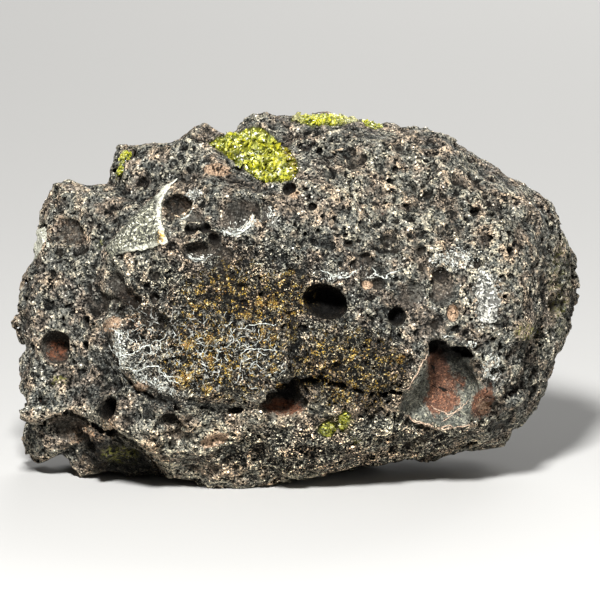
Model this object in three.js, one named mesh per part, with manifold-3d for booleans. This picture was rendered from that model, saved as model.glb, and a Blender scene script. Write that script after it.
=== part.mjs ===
// A hand specimen of vesicular basalt that carries a cluster of peridot crystals.
//
// The host rock is one solid: a rounded block with broken faces, ledges, clefts and gas bubbles.
// The peridot sits in it as granular nodules, each a solid of its own in a pocket of the basalt,
// and so do the pale weathered nodules and the patch of white mineral.
//
// Everything is shaped in "face coordinates", in millimetres: u runs across the front face, v up it and
// w out of it. The face leans back by FACE_LEAN from the vertical, and the block stands on a flat break.

import * as THREE from "three";
import { mergeVertices } from "three/addons/utils/BufferGeometryUtils.js";
import Module from "manifold-3d";

const wasm = await Module();
wasm.setup();

// ---------------------------------------------------------------- driving dimensions, mm and degrees

const FACE_LEAN = THREE.MathUtils.degToRad(12); // the front face's lean from the vertical
const BASE_DROP = 44; // from the face's origin down to the flat break the block stands on
const FACE_ORIGIN_X = 0.8; // puts the middle of the whole specimen over the part's origin
const FACE_ORIGIN_Y = 1.5;
const FRONT_DEPTH = 38; // half thickness in front of the outline, and behind it
const BACK_DEPTH = 41;
const FRONT_FULLNESS = 2.4; // exponents of the section: 2 is an ellipse, more is boxier
const BACK_FULLNESS = 3;
const EDGE_ROUND = 2.5; // how softly two broken faces meet
const ROUGHNESS = 0.55; // how far the broken surface strays to either side
const BLOCK_DETAIL = 11; // subdivisions of the icosahedron that the block is drawn from
const OUTSIDE = 95; // farther out than any point of the block

// Lumps all over the faces: how far apart and how high. They fade out towards the outline, which has its own.
const LUMPS = [
  { apart: 55, height: 1, shift: 1 },
  { apart: 20, height: 0.7, shift: 2 },
];
const LUMPS_FADE = [1, 14]; // w where they start, and where they reach their full height

// The block's outline across the front face, anticlockwise from the right-hand end, as [u, v].
const OUTLINE = [
  [68.7, 1], [67.6, 12], [64.3, 20], [61, 25], [55.5, 28.6], [49.5, 32.6], [43.5, 35.8], [40.5, 38],
  [38, 40.3], [31, 42], [22, 43.2], [13, 45], [7, 46], [-3, 45.6], [-11, 46], [-14.5, 43], [-18, 41],
  [-20.5, 41.8], [-23, 43.6], [-26, 42.6], [-29, 40.4], [-32, 38.8], [-38, 39], [-43.5, 39], [-45, 34],
  [-46.5, 28.7], [-53.5, 28.4], [-57.8, 30.4], [-61.7, 29.2], [-64, 23], [-66.2, 16.5], [-68.2, 8.7],
  [-69.8, 1], [-71.6, -6.5], [-69.3, -12], [-70.4, -21.5], [-69, -27.5], [-68.4, -33], [-65.2, -39],
  [-63.6, -40], [-59.5, -38.4], [-57.5, -41], [-55.3, -44.3], [-48, -43.3], [-40, -45.2], [-31, -44.2],
  [-26.5, -45.4], [-23, -47.6], [-14.5, -47.2], [-10.5, -46], [-2.5, -45.1], [5.5, -43.7], [17.5, -41.3],
  [25.5, -39.3], [33.5, -38.7], [41.5, -37], [49.5, -35.4], [53.3, -31.8], [57.3, -28.4], [61.2, -22],
  [62.6, -16.5], [63.2, -14], [65.6, -10], [67.6, -7], [67.7, -3.7],
];

// Broken faces: each cuts the block off beyond a plane through a point, along its outward normal.
const BREAKS = [
  { name: "left front", through: [-54, 0, 17], normal: [-0.5, 0.05, 0.86] },
  { name: "upper right", through: [30, 22, 28], normal: [0.22, 0.5, 0.84] },
  { name: "middle front", through: [-10, -4, 34.5], normal: [-0.06, 0.06, 1] },
  { name: "lower band", through: [0, -36, 22], normal: [0.06, -0.62, 0.78] },
  { name: "right end", through: [61, 0, 13], normal: [0.85, -0.02, 0.52] },
  { name: "left shoulder", through: [-30, 34, 14], normal: [-0.2, 0.72, 0.66] },
  { name: "back", through: [8, 4, -36], normal: [0.12, 0.2, -0.97] },
  { name: "back left", through: [-45, 0, -22], normal: [-0.58, 0.1, -0.81] },
  { name: "back upper right", through: [36, 24, -22], normal: [0.42, 0.55, -0.72] },
  { name: "back low", through: [0, -34, -30], normal: [-0.1, -0.5, -0.86] },
  { name: "top back", through: [-16, 38, -18], normal: [-0.12, 0.82, -0.56] },
];

// Steps in the front face: inside each outline the rock stands proud by rise, or back where it is negative.
const LEDGES = [
  {
    name: "bronze swelling",
    rise: 2.6,
    edge: 1.6,
    outline: [
      [-48, -5], [-45, -16], [-40, -21], [-30, -24.5], [-15, -26], [-5, -25], [-2, -18], [-1, -4],
      [-10, 8], [-30, 2], [-40, -3],
    ],
  },
  {
    name: "right swelling",
    rise: 1.3,
    edge: 2,
    outline: [[0, -4], [10, -6], [22, -6], [28, -11], [27, -20], [15, -22], [6, -19.5], [0, -20]],
  },
  {
    name: "left face, set back",
    rise: -2.4,
    edge: 1.4,
    outline: [
      [-30, 31], [-38, 24], [-49, 12], [-49, 2], [-47, -12], [-42, -22], [-52, -27], [-75, -27],
      [-75, 40], [-46, 40], [-44, 30],
    ],
  },
  {
    name: "bubble hollow",
    rise: -1.8,
    edge: 1.5,
    outline: [[-34, 24], [-28, 26], [-19, 24], [-19, 12], [-25, 8.5], [-32, 13]],
  },
  {
    name: "undercut corner",
    rise: -6,
    edge: 1.8,
    outline: [[-75, -31], [-66, -31], [-57, -28], [-51, -30], [-42, -35], [-34, -42], [-36, -60], [-75, -60]],
  },
  {
    name: "lower hump",
    rise: 1.6,
    edge: 2.2,
    outline: [[0, -24], [12, -23], [24, -25], [27, -31], [20, -35], [8, -36], [0, -33]],
  },
];
const FRONT_FADE = [-2, 6]; // w where the steps start, and where they reach their full height

// Gas bubbles in the front face: where each opens, its half widths, its turn in the face and its depth.
const FRONT_BUBBLES = [
  { at: [37.5, -23.5], half: [11.4, 9.6], turn: 0, depth: 9 }, // the big rust-lined hollow, and its upper end
  { at: [35.5, -14.5], half: [6, 7.5], turn: -10, depth: 10 },
  { at: [6.3, -0.5], half: [5.4, 3.9], turn: -22, depth: 9 },
  { at: [-60.7, -11.7], half: [3.9, 3.9], turn: 0, depth: 6.5 },
  { at: [-48, -27.3], half: [2.4, 3.2], turn: 0, depth: 5 },
  { at: [-4, -25.4], half: [6.2, 3.8], turn: 0, depth: 8 }, // under the lip of the bronze swelling
  { at: [-57, -34], half: [6.5, 4.2], turn: -25, depth: 5.5 },
  { at: [-58, 17], half: [5.2, 3.2], turn: 5, depth: 2.4 },
  { at: [-30.3, 23.3], half: [3.6, 3], turn: -20, depth: 3.6 },
  { at: [-26.5, 21], half: [3.2, 2.6], turn: -30, depth: 2.8 },
  { at: [-26.8, 17.6], half: [1.8, 1.6], turn: 0, depth: 2.6 },
  { at: [-23.8, 17.6], half: [1.7, 1.6], turn: 0, depth: 2.6 },
  { at: [-21.5, 14.8], half: [1.5, 2.2], turn: 15, depth: 3 },
  { at: [-25, 12.2], half: [4, 2.2], turn: 0, depth: 2.8 },
  { at: [-15.5, 21.6], half: [5, 4.6], turn: 0, depth: 3.2 },
  { at: [-8.8, 22], half: [2.4, 2.5], turn: 0, depth: 2 },
  { at: [-2.6, 27.6], half: [2, 2], turn: 0, depth: 3 },
  { at: [16.8, 4], half: [1.8, 1.6], turn: 0, depth: 2.2 },
  { at: [19.8, 4.3], half: [1.7, 1.5], turn: 0, depth: 3.2 },
  { at: [27, 0.5], half: [4.4, 3.4], turn: 30, depth: 2 },
  { at: [24, -4.2], half: [2.1, 2.1], turn: 0, depth: 3.6 },
  { at: [35.5, 3], half: [4, 4.4], turn: 0, depth: 2.2 },
  { at: [35, 6.4], half: [1.9, 1.8], turn: 0, depth: 2.6 },
  { at: [37.8, -3.2], half: [1.4, 2], turn: 0, depth: 2.2 },
  { at: [-21.2, -34.8], half: [4, 1.6], turn: 20, depth: 2 },
  { at: [-31.8, -30.3], half: [2.6, 1.8], turn: -25, depth: 4 },
  { at: [22, -34], half: [3.5, 2.2], turn: 15, depth: 2.4 },
  { at: [64, -1.5], half: [2.6, 1.5], turn: 10, depth: 3.5 },
];
const BUBBLE_SUNK = 0.25; // share of its depth by which a bubble's middle lies under the surface
const FACE_LOOK = 1.5; // how much more a front bubble opens straight out of the face than its surface does
const BUBBLE_DETAIL = [
  { over: 5.9, detail: 2 }, // subdivisions by half width
  { over: 3.5, detail: 1 },
  { over: 0, detail: 0 },
];

// Clefts in the front face: the line that each follows, its half width and its depth.
const CLEFTS = [
  { line: [[-47, 4], [-41, 0], [-34, -7.5]], half: 2.2, depth: 4.5 }, // beside the bronze swelling
  { line: [[0, -20.2], [5, -19.6], [14, -22.6], [25, -23]], half: 0.9, depth: 3 }, // under the right swelling
  { line: [[-45.5, -17.5], [-40, -22.5], [-33, -26.5]], half: 0.8, depth: 2.5 },
];
const CLEFT_OVERLAP = 0.7; // half length of each stretch of a cleft, as a share of the stretch

// Bubbles over the back, sides and top, spread by a loop.
const BACK_BUBBLES = {
  count: 14,
  radii: [2, 6.5],
  flatness: 0.7, // least width across, as a share of the radius
  depth: 1.2, // in radii
  frontLimit: -0.05, // none farther forward than this, or lower, as parts of a unit direction
  lowLimit: -0.75,
};

// Nodules: each fills a pocket under its outline, which lies across the way that `from` names.
const ALONG = {
  front: { across: [1, 0, 0], up: [0, 1, 0], out: [0, 0, 1] },
  top: { across: [1, 0, 0], up: [0, 0, -1], out: [0, 1, 0] },
  left: { across: [0, 0, 1], up: [0, 1, 0], out: [-1, 0, 0] },
};
const BASALT = { color: 0x6b665a, roughness: 0.95, metalness: 0 };
const PERIDOT = { color: 0xb9bd2e, roughness: 0.25, metalness: 0 };
const PALE = { color: 0xbdb9a0, roughness: 0.8, metalness: 0 };
const WHITE = { color: 0xd9d7cc, roughness: 0.7, metalness: 0 };
const NODULES = [
  {
    name: "peridot_cluster",
    from: "front",
    look: PERIDOT,
    depth: 6,
    grain: 2.3,
    spacing: 3,
    proud: 0.4,
    outline: [
      [-23, 39], [-19.5, 41], [-15.5, 41.8], [-12, 43], [-9.5, 43], [-7, 41], [-5, 38.5], [-2.5, 37],
      [-1, 35], [-0.4, 32.5], [-1.2, 30.5], [-4, 29.4], [-7.5, 29.2], [-10.5, 30], [-13, 31.8],
      [-15.2, 33], [-17, 35], [-20, 37],
    ],
  },
  {
    name: "peridot_ridge_crust",
    from: "top",
    look: PERIDOT,
    depth: 3,
    grain: 2,
    spacing: 3.6,
    proud: 0.1,
    outline: [[-1, -5], [4, -6.5], [10, -6], [14, -3.5], [14.5, 2], [9, 4.5], [3, 4], [-1, 1.5]],
  },
  {
    name: "peridot_ridge_bead",
    from: "top",
    look: PERIDOT,
    depth: 2.2,
    grain: 1.6,
    spacing: 2.8,
    proud: 0.1,
    outline: [[16.2, -3], [18.5, -3.2], [20.6, -1.5], [20.2, 1.4], [17.5, 2.2], [16, 0.2]],
  },
  {
    name: "peridot_shoulder_crust",
    from: "left",
    look: PERIDOT,
    depth: 2.6,
    grain: 1.8,
    spacing: 2.9,
    proud: 0.2,
    outline: [[-4, 31], [4.5, 30.8], [7, 33.5], [6, 37.2], [-3, 37.6], [-5, 34.5]],
  },
  {
    name: "peridot_grain_west",
    from: "front",
    look: PERIDOT,
    depth: 2.5,
    grain: 1.6,
    spacing: 2,
    proud: 0.3,
    outline: [[4.6, -32.2], [6.2, -30.2], [8.2, -30.4], [9, -32.2], [7.8, -34], [5.6, -34]],
  },
  {
    name: "peridot_grain_east",
    from: "front",
    look: PERIDOT,
    depth: 2.5,
    grain: 1.6,
    spacing: 2,
    proud: 0.3,
    outline: [[9.4, -28.6], [11.2, -27.4], [12.6, -28.2], [12.4, -30.6], [11, -32.4], [9.4, -31.4]],
  },
  {
    name: "pale_nodule",
    from: "front",
    look: PALE,
    depth: 3,
    grain: 1.6,
    spacing: 5,
    proud: -0.3,
    outline: [
      [-30.7, 30.2], [-33.2, 27], [-34.6, 23.5], [-34.6, 20], [-33.7, 17], [-32.5, 14.2], [-37.5, 12.6],
      [-43.7, 11.7], [-47, 10.5], [-48.6, 12.5], [-42.5, 19.5], [-38, 24.2], [-34, 28],
    ],
  },
  {
    name: "pale_edge_nodule",
    from: "left",
    look: PALE,
    depth: 2.4,
    grain: 1.6,
    spacing: 3.4,
    proud: -0.1,
    outline: [[-3, 10.4], [2.5, 10], [5.5, 12.5], [5, 17], [0, 18.2], [-3.5, 15]],
  },
  {
    name: "white_mineral_patch",
    from: "front",
    look: WHITE,
    depth: 2,
    grain: 1.9,
    spacing: 3.4,
    proud: 0.2,
    outline: [
      [44.6, 7.2], [47.4, 6.4], [48.2, 3], [49.6, 0], [49, -3.4], [48.2, -5.6], [45, -5.8],
      [43.6, -4], [44.4, -1], [43.4, 1.6], [44, 4.6],
    ],
  },
];
const POCKET_GAP = 0.3; // clearance between a nodule and the pocket it sits in
const POCKET_ABOVE = 6; // how far a pocket is carried on above the surface
const GRAIN_SUNK = 0.4; // share of its size by which a grain's middle lies under the surface
const GRAIN_STRETCH = [0.75, 1.25]; // least and most size of a grain along each of its axes

// ---------------------------------------------------------------- small helpers

const { degToRad, lerp, smoothstep } = THREE.MathUtils;
const vec = (a) => new THREE.Vector3(...a);

// A repeatable stream of numbers from 0 to 1.
function randomStream(seed) {
  const range = 2 ** 32;
  let state = seed;
  return () => {
    state = (state * 1664525 + 1013904223) % range;
    return state / range;
  };
}

// The larger of two distances, with the crease between them rounded over `round`.
function roundedMax(a, b, round) {
  const h = Math.max(round - Math.abs(a - b), 0) / round;
  return Math.max(a, b) + (h * h * round) / 4;
}

// Signed distance from a point to a closed outline, negative inside.
function outlineDistance(x, y, outline) {
  let nearest = Infinity;
  let inside = false;
  outline.forEach(([x1, y1], i) => {
    const [x0, y0] = outline.at(i - 1);
    const dx = x1 - x0;
    const dy = y1 - y0;
    const t = THREE.MathUtils.clamp(((x - x0) * dx + (y - y0) * dy) / (dx * dx + dy * dy), 0, 1);
    nearest = Math.min(nearest, Math.hypot(x - x0 - t * dx, y - y0 - t * dy));
    if (y0 > y !== y1 > y && x < ((x1 - x0) * (y - y0)) / (y1 - y0) + x0) inside = !inside;
  });
  return inside ? -nearest : nearest;
}

// ---------------------------------------------------------------- the block's shape

const outlineByAngle = OUTLINE.map(([u, v]) => ({ u, v, angle: Math.atan2(v, u) })).sort(
  (a, b) => a.angle - b.angle,
);

// How far the outline lies from the face's origin in the direction of an angle.
function outlineRadius(angle) {
  const next = Math.max(outlineByAngle.findIndex((p) => p.angle >= angle), 0);
  const a = outlineByAngle.at(next - 1);
  const b = outlineByAngle[next];
  return (a.u * b.v - a.v * b.u) / (Math.cos(angle) * (b.v - a.v) - Math.sin(angle) * (b.u - a.u));
}

// The rounded body: the outline, swelled to the front and to the back.
function roundedBody(p) {
  const [depth, fullness] = p.z > 0 ? [FRONT_DEPTH, FRONT_FULLNESS] : [BACK_DEPTH, BACK_FULLNESS];
  const across = Math.hypot(p.x, p.y) / outlineRadius(Math.atan2(p.y, p.x));
  const size = (across ** fullness + (Math.abs(p.z) / depth) ** fullness) ** (1 / fullness);
  return p.length() * (1 - 1 / Math.max(size, 1e-3));
}

// Crossed and bent waves over space, from about -2 to 2.
function waves(p, { apart, shift }) {
  const bend = 1.3;
  const [x, y, z] = p.toArray().map((c, i) => (2 * Math.PI * c) / apart + shift * (i + 1));
  const crossed = Math.sin(x + bend * Math.sin(y)) * Math.sin(y + bend * Math.sin(z));
  return crossed + Math.sin(z + bend * Math.sin(x));
}

function lumps(p) {
  const height = LUMPS.reduce((sum, lump) => sum + lump.height * waves(p, lump), 0);
  return height * smoothstep(Math.abs(p.z), ...LUMPS_FADE);
}

// How far the front face stands proud at a point, from its ledges.
function ledgeRise(p) {
  const rise = LEDGES.reduce((sum, ledge) => {
    const inside = 1 - smoothstep(outlineDistance(p.x, p.y, ledge.outline), -ledge.edge, ledge.edge);
    return sum + ledge.rise * inside;
  }, 0);
  return rise * smoothstep(p.z, ...FRONT_FADE);
}

const breakPlanes = BREAKS.map(({ through, normal }) => {
  const n = vec(normal).normalize();
  return { n, height: n.dot(vec(through)) };
});

// Below zero inside the block and above zero outside it, in about millimetres.
function blockDistance(p) {
  const cut = (d, { n, height }) => roundedMax(d, n.dot(p) - height, EDGE_ROUND);
  return breakPlanes.reduce(cut, roundedBody(p)) - lumps(p) - ledgeRise(p);
}

// The first point of the block met by a line from `start` along `way`.
function firstTouch(start, way) {
  const step = 0.75;
  const halvings = 12;
  const p = start.clone();
  for (let gone = 0; gone < 2 * OUTSIDE && blockDistance(p) > 0; gone += step) p.addScaledVector(way, step);
  let near = 0;
  let far = -step;
  const at = (t) => p.clone().addScaledVector(way, t);
  for (let i = 0; i < halvings; i++) {
    const middle = (near + far) / 2;
    if (blockDistance(at(middle)) < 0) near = middle;
    else far = middle;
  }
  return at((near + far) / 2);
}

// The block's outward normal at a point of its surface.
function blockNormal(p) {
  const reach = 0.8;
  const slope = (axis) => {
    const ahead = p.clone().addScaledVector(vec(axis), reach);
    const behind = p.clone().addScaledVector(vec(axis), -reach);
    return blockDistance(ahead) - blockDistance(behind);
  };
  return new THREE.Vector3(slope([1, 0, 0]), slope([0, 1, 0]), slope([0, 0, 1])).normalize();
}

// The point of the front face at (u, v).
const onFace = (u, v) => firstTouch(new THREE.Vector3(u, v, OUTSIDE), vec([0, 0, -1]));

// The point of the block that lies outermost in a direction from the face's origin.
const onBlock = (out) => firstTouch(out.clone().multiplyScalar(OUTSIDE), out.clone().negate());

// ---------------------------------------------------------------- solids

// A closed geometry as a solid that can be joined and cut.
function solid(geometry) {
  const bare = geometry.clone();
  bare.deleteAttribute("normal");
  bare.deleteAttribute("uv");
  const merged = mergeVertices(bare);
  return new wasm.Manifold(
    new wasm.Mesh({
      numProp: 3,
      vertProperties: new Float32Array(merged.attributes.position.array),
      triVerts: new Uint32Array(merged.index.array),
    }),
  );
}

// A solid as a named mesh with its own material.
function meshOf(name, body, look) {
  const { vertProperties, triVerts } = body.getMesh();
  const geometry = new THREE.BufferGeometry();
  geometry.setAttribute("position", new THREE.BufferAttribute(vertProperties, 3));
  geometry.setIndex(new THREE.BufferAttribute(triVerts, 1));
  const mesh = new THREE.Mesh(geometry, new THREE.MeshStandardMaterial({ ...look, flatShading: true }));
  mesh.name = name;
  return mesh;
}

// The whole block before anything is cut into it: an icosahedron's points sent out to its surface.
function wholeBlock() {
  const ball = new THREE.IcosahedronGeometry(1, BLOCK_DETAIL);
  ball.deleteAttribute("normal");
  ball.deleteAttribute("uv");
  const merged = mergeVertices(ball);
  const points = merged.attributes.position;
  const random = randomStream(3);
  for (let i = 0; i < points.count; i++) {
    const out = new THREE.Vector3().fromBufferAttribute(points, i).normalize();
    const touch = onBlock(out).addScaledVector(out, lerp(-ROUGHNESS, ROUGHNESS, random()));
    points.setXYZ(i, touch.x, touch.y, touch.z);
  }
  return solid(merged);
}

// A bubble: an ellipsoid that opens at a point of the surface, with its third axis going in.
function bubble({ at, inward, half, turn, depth }) {
  const [halfAcross, halfUp] = half;
  const halfDeep = depth * (1 - BUBBLE_SUNK);
  const widen = 1 / Math.sqrt(1 - (BUBBLE_SUNK / (1 - BUBBLE_SUNK)) ** 2);
  const { detail } = BUBBLE_DETAIL.find(({ over }) => Math.max(...half) > over);
  const geometry = new THREE.IcosahedronGeometry(1, detail);
  geometry.scale(halfAcross * widen, halfUp * widen, halfDeep);
  geometry.rotateZ(degToRad(turn));
  geometry.applyQuaternion(new THREE.Quaternion().setFromUnitVectors(vec([0, 0, -1]), inward));
  const middle = at.clone().addScaledVector(inward, depth * BUBBLE_SUNK);
  geometry.translate(middle.x, middle.y, middle.z);
  return solid(geometry);
}

function frontBubbles() {
  return FRONT_BUBBLES.map((spec) => {
    const at = onFace(...spec.at);
    const inward = blockNormal(at).negate().add(vec([0, 0, -FACE_LOOK])).normalize();
    return bubble({ ...spec, at, inward });
  });
}

// Bubbles spread evenly round the block, kept to where the front face doesn't look.
function backBubbles() {
  const { count, radii, flatness, depth, frontLimit, lowLimit } = BACK_BUBBLES;
  const goldenRatio = (1 + Math.sqrt(5)) / 2;
  const random = randomStream(7);
  const made = [];
  for (let i = 1; made.length < count; i++) {
    const height = 1 - 2 * ((i * goldenRatio) % 1);
    const turn = i * 2 * Math.PI * Math.SQRT2;
    const out = new THREE.Vector3().setFromSphericalCoords(1, Math.acos(height), turn);
    if (out.z > frontLimit || out.y < lowLimit) continue;
    const radius = lerp(...radii, random() ** 3);
    const half = [radius, radius * lerp(flatness, 1, random())];
    const at = onBlock(out);
    const inward = blockNormal(at).negate();
    made.push(bubble({ at, inward, half, turn: 180 * random(), depth: depth * radius }));
  }
  return made;
}

// A cleft: a stretched octahedron along each stretch of its line, sunk in the surface to half its height.
function cleft({ line, half, depth }) {
  const points = line.map(([u, v]) => onFace(u, v));
  return points.slice(1).map((end, i) => {
    const along = end.clone().sub(points[i]);
    const middle = end.clone().add(points[i]).multiplyScalar(0.5);
    const across = along.clone().cross(blockNormal(middle)).normalize();
    const geometry = new THREE.OctahedronGeometry(1);
    geometry.scale(CLEFT_OVERLAP * along.length(), half, depth);
    along.normalize();
    geometry.applyMatrix4(new THREE.Matrix4().makeBasis(along, across, along.clone().cross(across)));
    geometry.translate(middle.x, middle.y, middle.z);
    return solid(geometry);
  });
}

// ---------------------------------------------------------------- nodules and their pockets

// A nodule's own axes, as a matrix from (across, up, out) to face coordinates.
function axesOf({ from }) {
  const { across, up, out } = ALONG[from];
  return new THREE.Matrix4().makeBasis(vec(across), vec(up), vec(out));
}

// An outline's corners, drawn in by `inset` from both edges that meet in each.
function cornersOf(outline, inset) {
  const corners = outline.map(([a, b]) => new THREE.Vector2(a, b));
  const side = THREE.ShapeUtils.isClockWise(corners) ? -1 : 1;
  const inwardOf = (from, to) => new THREE.Vector2(from.y - to.y, to.x - from.x).setLength(side);
  return corners.map((corner, i) => {
    const before = inwardOf(corners.at(i - 1), corner);
    const after = inwardOf(corner, corners[(i + 1) % corners.length]);
    const mitre = inset / (1 + before.dot(after));
    return before.add(after).multiplyScalar(mitre).add(corner);
  });
}

// A straight-sided column over a nodule's outline, drawn in by `inset`, from `low` to `high`.
function column(spec, inset, low, high) {
  const upright = { depth: high - low, bevelEnabled: false };
  const geometry = new THREE.ExtrudeGeometry(new THREE.Shape(cornersOf(spec.outline, inset)), upright);
  geometry.translate(0, 0, low);
  geometry.applyMatrix4(axesOf(spec));
  return solid(geometry);
}

// The point of the surface that a nodule's way in meets at (a, b) of its outline's plane.
function surfaceUnder(spec, a, b) {
  const start = new THREE.Vector3(a, b, OUTSIDE).applyMatrix4(axesOf(spec));
  return firstTouch(start, vec(ALONG[spec.from].out).negate());
}

// The points of the surface under a nodule's outline where its grains sit, on a shaken grid.
function grainPlaces(spec, random) {
  const { outline, spacing } = spec;
  const edge = 0.2 * spacing;
  const xs = outline.map((p) => p[0]);
  const ys = outline.map((p) => p[1]);
  const places = [];
  for (let a = Math.min(...xs); a <= Math.max(...xs); a += spacing) {
    for (let b = Math.min(...ys); b <= Math.max(...ys); b += spacing) {
      const x = a + spacing * (random() - 0.5);
      const y = b + spacing * (random() - 0.5);
      if (outlineDistance(x, y, outline) < -edge) places.push(surfaceUnder(spec, x, y));
    }
  }
  return places;
}

// A crystal grain: a stretched octahedron, turned at random.
function grain(at, size, random) {
  const stretch = () => size * lerp(...GRAIN_STRETCH, random());
  const turn = () => 2 * Math.PI * random();
  const geometry = new THREE.OctahedronGeometry(1);
  geometry.scale(stretch(), stretch(), stretch());
  geometry.applyQuaternion(new THREE.Quaternion().setFromEuler(new THREE.Euler(turn(), turn(), turn())));
  geometry.translate(at.x, at.y, at.z);
  return solid(geometry);
}

// A nodule and the pocket it needs: the rock's own skin over its outline, with grains that stand out of it.
function nodule(spec, block, seed) {
  const random = randomStream(seed);
  const places = grainPlaces(spec, random);
  const rim = spec.outline.map(([a, b]) => surfaceUnder(spec, a, b));
  const heights = [...places, ...rim].map((p) => p.dot(vec(ALONG[spec.from].out)));
  const low = Math.min(...heights) - spec.depth;
  const high = Math.max(...heights) + POCKET_ABOVE;
  const room = column(spec, POCKET_GAP, low + POCKET_GAP, high);
  const grains = places.map((p) => {
    const middle = p.clone().addScaledVector(blockNormal(p), spec.proud - GRAIN_SUNK * spec.grain);
    return grain(middle, spec.grain, random).intersect(room);
  });
  const body = grains.reduce((all, g) => all.add(g), block.intersect(room));
  return { body, pocket: column(spec, 0, low, high) };
}

// Everything below the flat break, as a box turned back by the face's lean.
function underBase() {
  const size = 4 * OUTSIDE;
  const box = new THREE.BoxGeometry(size, size, size);
  box.translate(0, -size / 2 - BASE_DROP, 0);
  box.rotateX(FACE_LEAN);
  return solid(box);
}

// ---------------------------------------------------------------- the specimen

const block = wholeBlock();
const nodules = NODULES.map((spec, i) => ({ spec, ...nodule(spec, block, i + 1) }));
const cuts = [
  ...frontBubbles(),
  ...backBubbles(),
  ...CLEFTS.flatMap(cleft),
  ...nodules.map(({ pocket }) => pocket),
  underBase(),
];
const host = cuts.reduce((rock, cut) => rock.subtract(cut), block);

const face = new THREE.Group();
face.add(meshOf("basalt_host", host, BASALT));
nodules.forEach(({ spec, body }) => face.add(meshOf(spec.name, body, spec.look)));

// From face coordinates to the part's own: +X across, +Z up, the flat break at height zero.
face.rotation.x = Math.PI / 2 - FACE_LEAN;
face.position.set(FACE_ORIGIN_X, FACE_ORIGIN_Y, BASE_DROP);

const specimen = new THREE.Group();
specimen.add(face);

export default specimen;
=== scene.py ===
"""Looks of a peridot cluster on vesicular basalt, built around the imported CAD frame.

The rock is drawn as a distance field on a grid, in the same face coordinates as the CAD source: u across the
front face, v up it and w out of it, in millimetres. The face leans back by FACE_LEAN, and the block stands on
a flat break. The field is turned into a mesh, thinned out, and moved into the frame, which is in metres.
"""

import math

import bmesh
import bpy
import numpy as np
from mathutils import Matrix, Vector


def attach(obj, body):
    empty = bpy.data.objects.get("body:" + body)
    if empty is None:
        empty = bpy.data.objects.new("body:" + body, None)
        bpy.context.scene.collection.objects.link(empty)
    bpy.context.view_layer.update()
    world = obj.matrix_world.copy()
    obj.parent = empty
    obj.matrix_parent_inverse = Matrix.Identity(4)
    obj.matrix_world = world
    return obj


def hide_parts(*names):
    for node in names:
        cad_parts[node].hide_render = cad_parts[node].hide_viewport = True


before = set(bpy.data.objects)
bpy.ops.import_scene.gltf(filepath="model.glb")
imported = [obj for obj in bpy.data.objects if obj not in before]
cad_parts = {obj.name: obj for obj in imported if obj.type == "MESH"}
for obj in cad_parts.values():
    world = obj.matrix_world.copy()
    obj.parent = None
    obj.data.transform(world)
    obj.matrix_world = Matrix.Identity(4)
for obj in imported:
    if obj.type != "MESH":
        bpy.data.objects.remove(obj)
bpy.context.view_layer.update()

# ---------------------------------------------------------------- sizes in mm, as in the CAD source

FACE_LEAN = math.radians(12)
BASE_DROP = 44.0
FACE_ORIGIN_X = 0.8
FACE_ORIGIN_Y = 1.5
FRONT_DEPTH = 38.0
BACK_DEPTH = 41.0
FRONT_FULLNESS = 2.4
BACK_FULLNESS = 3.0
EDGE_ROUND = 2.5
LUMPS = [(55.0, 1.0, 1), (20.0, 0.7, 2)]  # how far apart, how high, and a shift
LUMPS_FADE = (1.0, 14.0)
FRONT_FADE = (-2.0, 6.0)

OUTLINE = [
    (68.7, 1), (67.6, 12), (64.3, 20), (61, 25), (55.5, 28.6), (49.5, 32.6), (43.5, 35.8), (40.5, 38),
    (38, 40.3), (31, 42), (22, 43.2), (13, 45), (7, 46), (-3, 45.6), (-11, 46), (-14.5, 43), (-18, 41),
    (-20.5, 41.8), (-23, 43.6), (-26, 42.6), (-29, 40.4), (-32, 38.8), (-38, 39), (-43.5, 39), (-45, 34),
    (-46.5, 28.7), (-53.5, 28.4), (-57.8, 30.4), (-61.7, 29.2), (-64, 23), (-66.2, 16.5), (-68.2, 8.7),
    (-69.8, 1), (-71.6, -6.5), (-69.3, -12), (-70.4, -21.5), (-69, -27.5), (-68.4, -33), (-65.2, -39),
    (-63.6, -40), (-59.5, -38.4), (-57.5, -41), (-55.3, -44.3), (-48, -43.3), (-40, -45.2), (-31, -44.2),
    (-26.5, -45.4), (-23, -47.6), (-14.5, -47.2), (-10.5, -46), (-2.5, -45.1), (5.5, -43.7), (17.5, -41.3),
    (25.5, -39.3), (33.5, -38.7), (41.5, -37), (49.5, -35.4), (53.3, -31.8), (57.3, -28.4), (61.2, -22),
    (62.6, -16.5), (63.2, -14), (65.6, -10), (67.6, -7), (67.7, -3.7),
]

BREAKS = [  # a point of each broken face, and its outward normal
    ((-54, 0, 17), (-0.5, 0.05, 0.86)),  # left front
    ((30, 22, 28), (0.22, 0.5, 0.84)),  # upper right
    ((-10, -4, 34.5), (-0.06, 0.06, 1)),  # middle front
    ((0, -36, 22), (0.06, -0.62, 0.78)),  # lower band
    ((61, 0, 13), (0.85, -0.02, 0.52)),  # right end
    ((-30, 34, 14), (-0.2, 0.72, 0.66)),  # left shoulder
    ((8, 4, -36), (0.12, 0.2, -0.97)),  # back
    ((-45, 0, -22), (-0.58, 0.1, -0.81)),  # back left
    ((36, 24, -22), (0.42, 0.55, -0.72)),  # back upper right
    ((0, -34, -30), (-0.1, -0.5, -0.86)),  # back low
    ((-16, 38, -18), (-0.12, 0.82, -0.56)),  # top back
]

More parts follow.
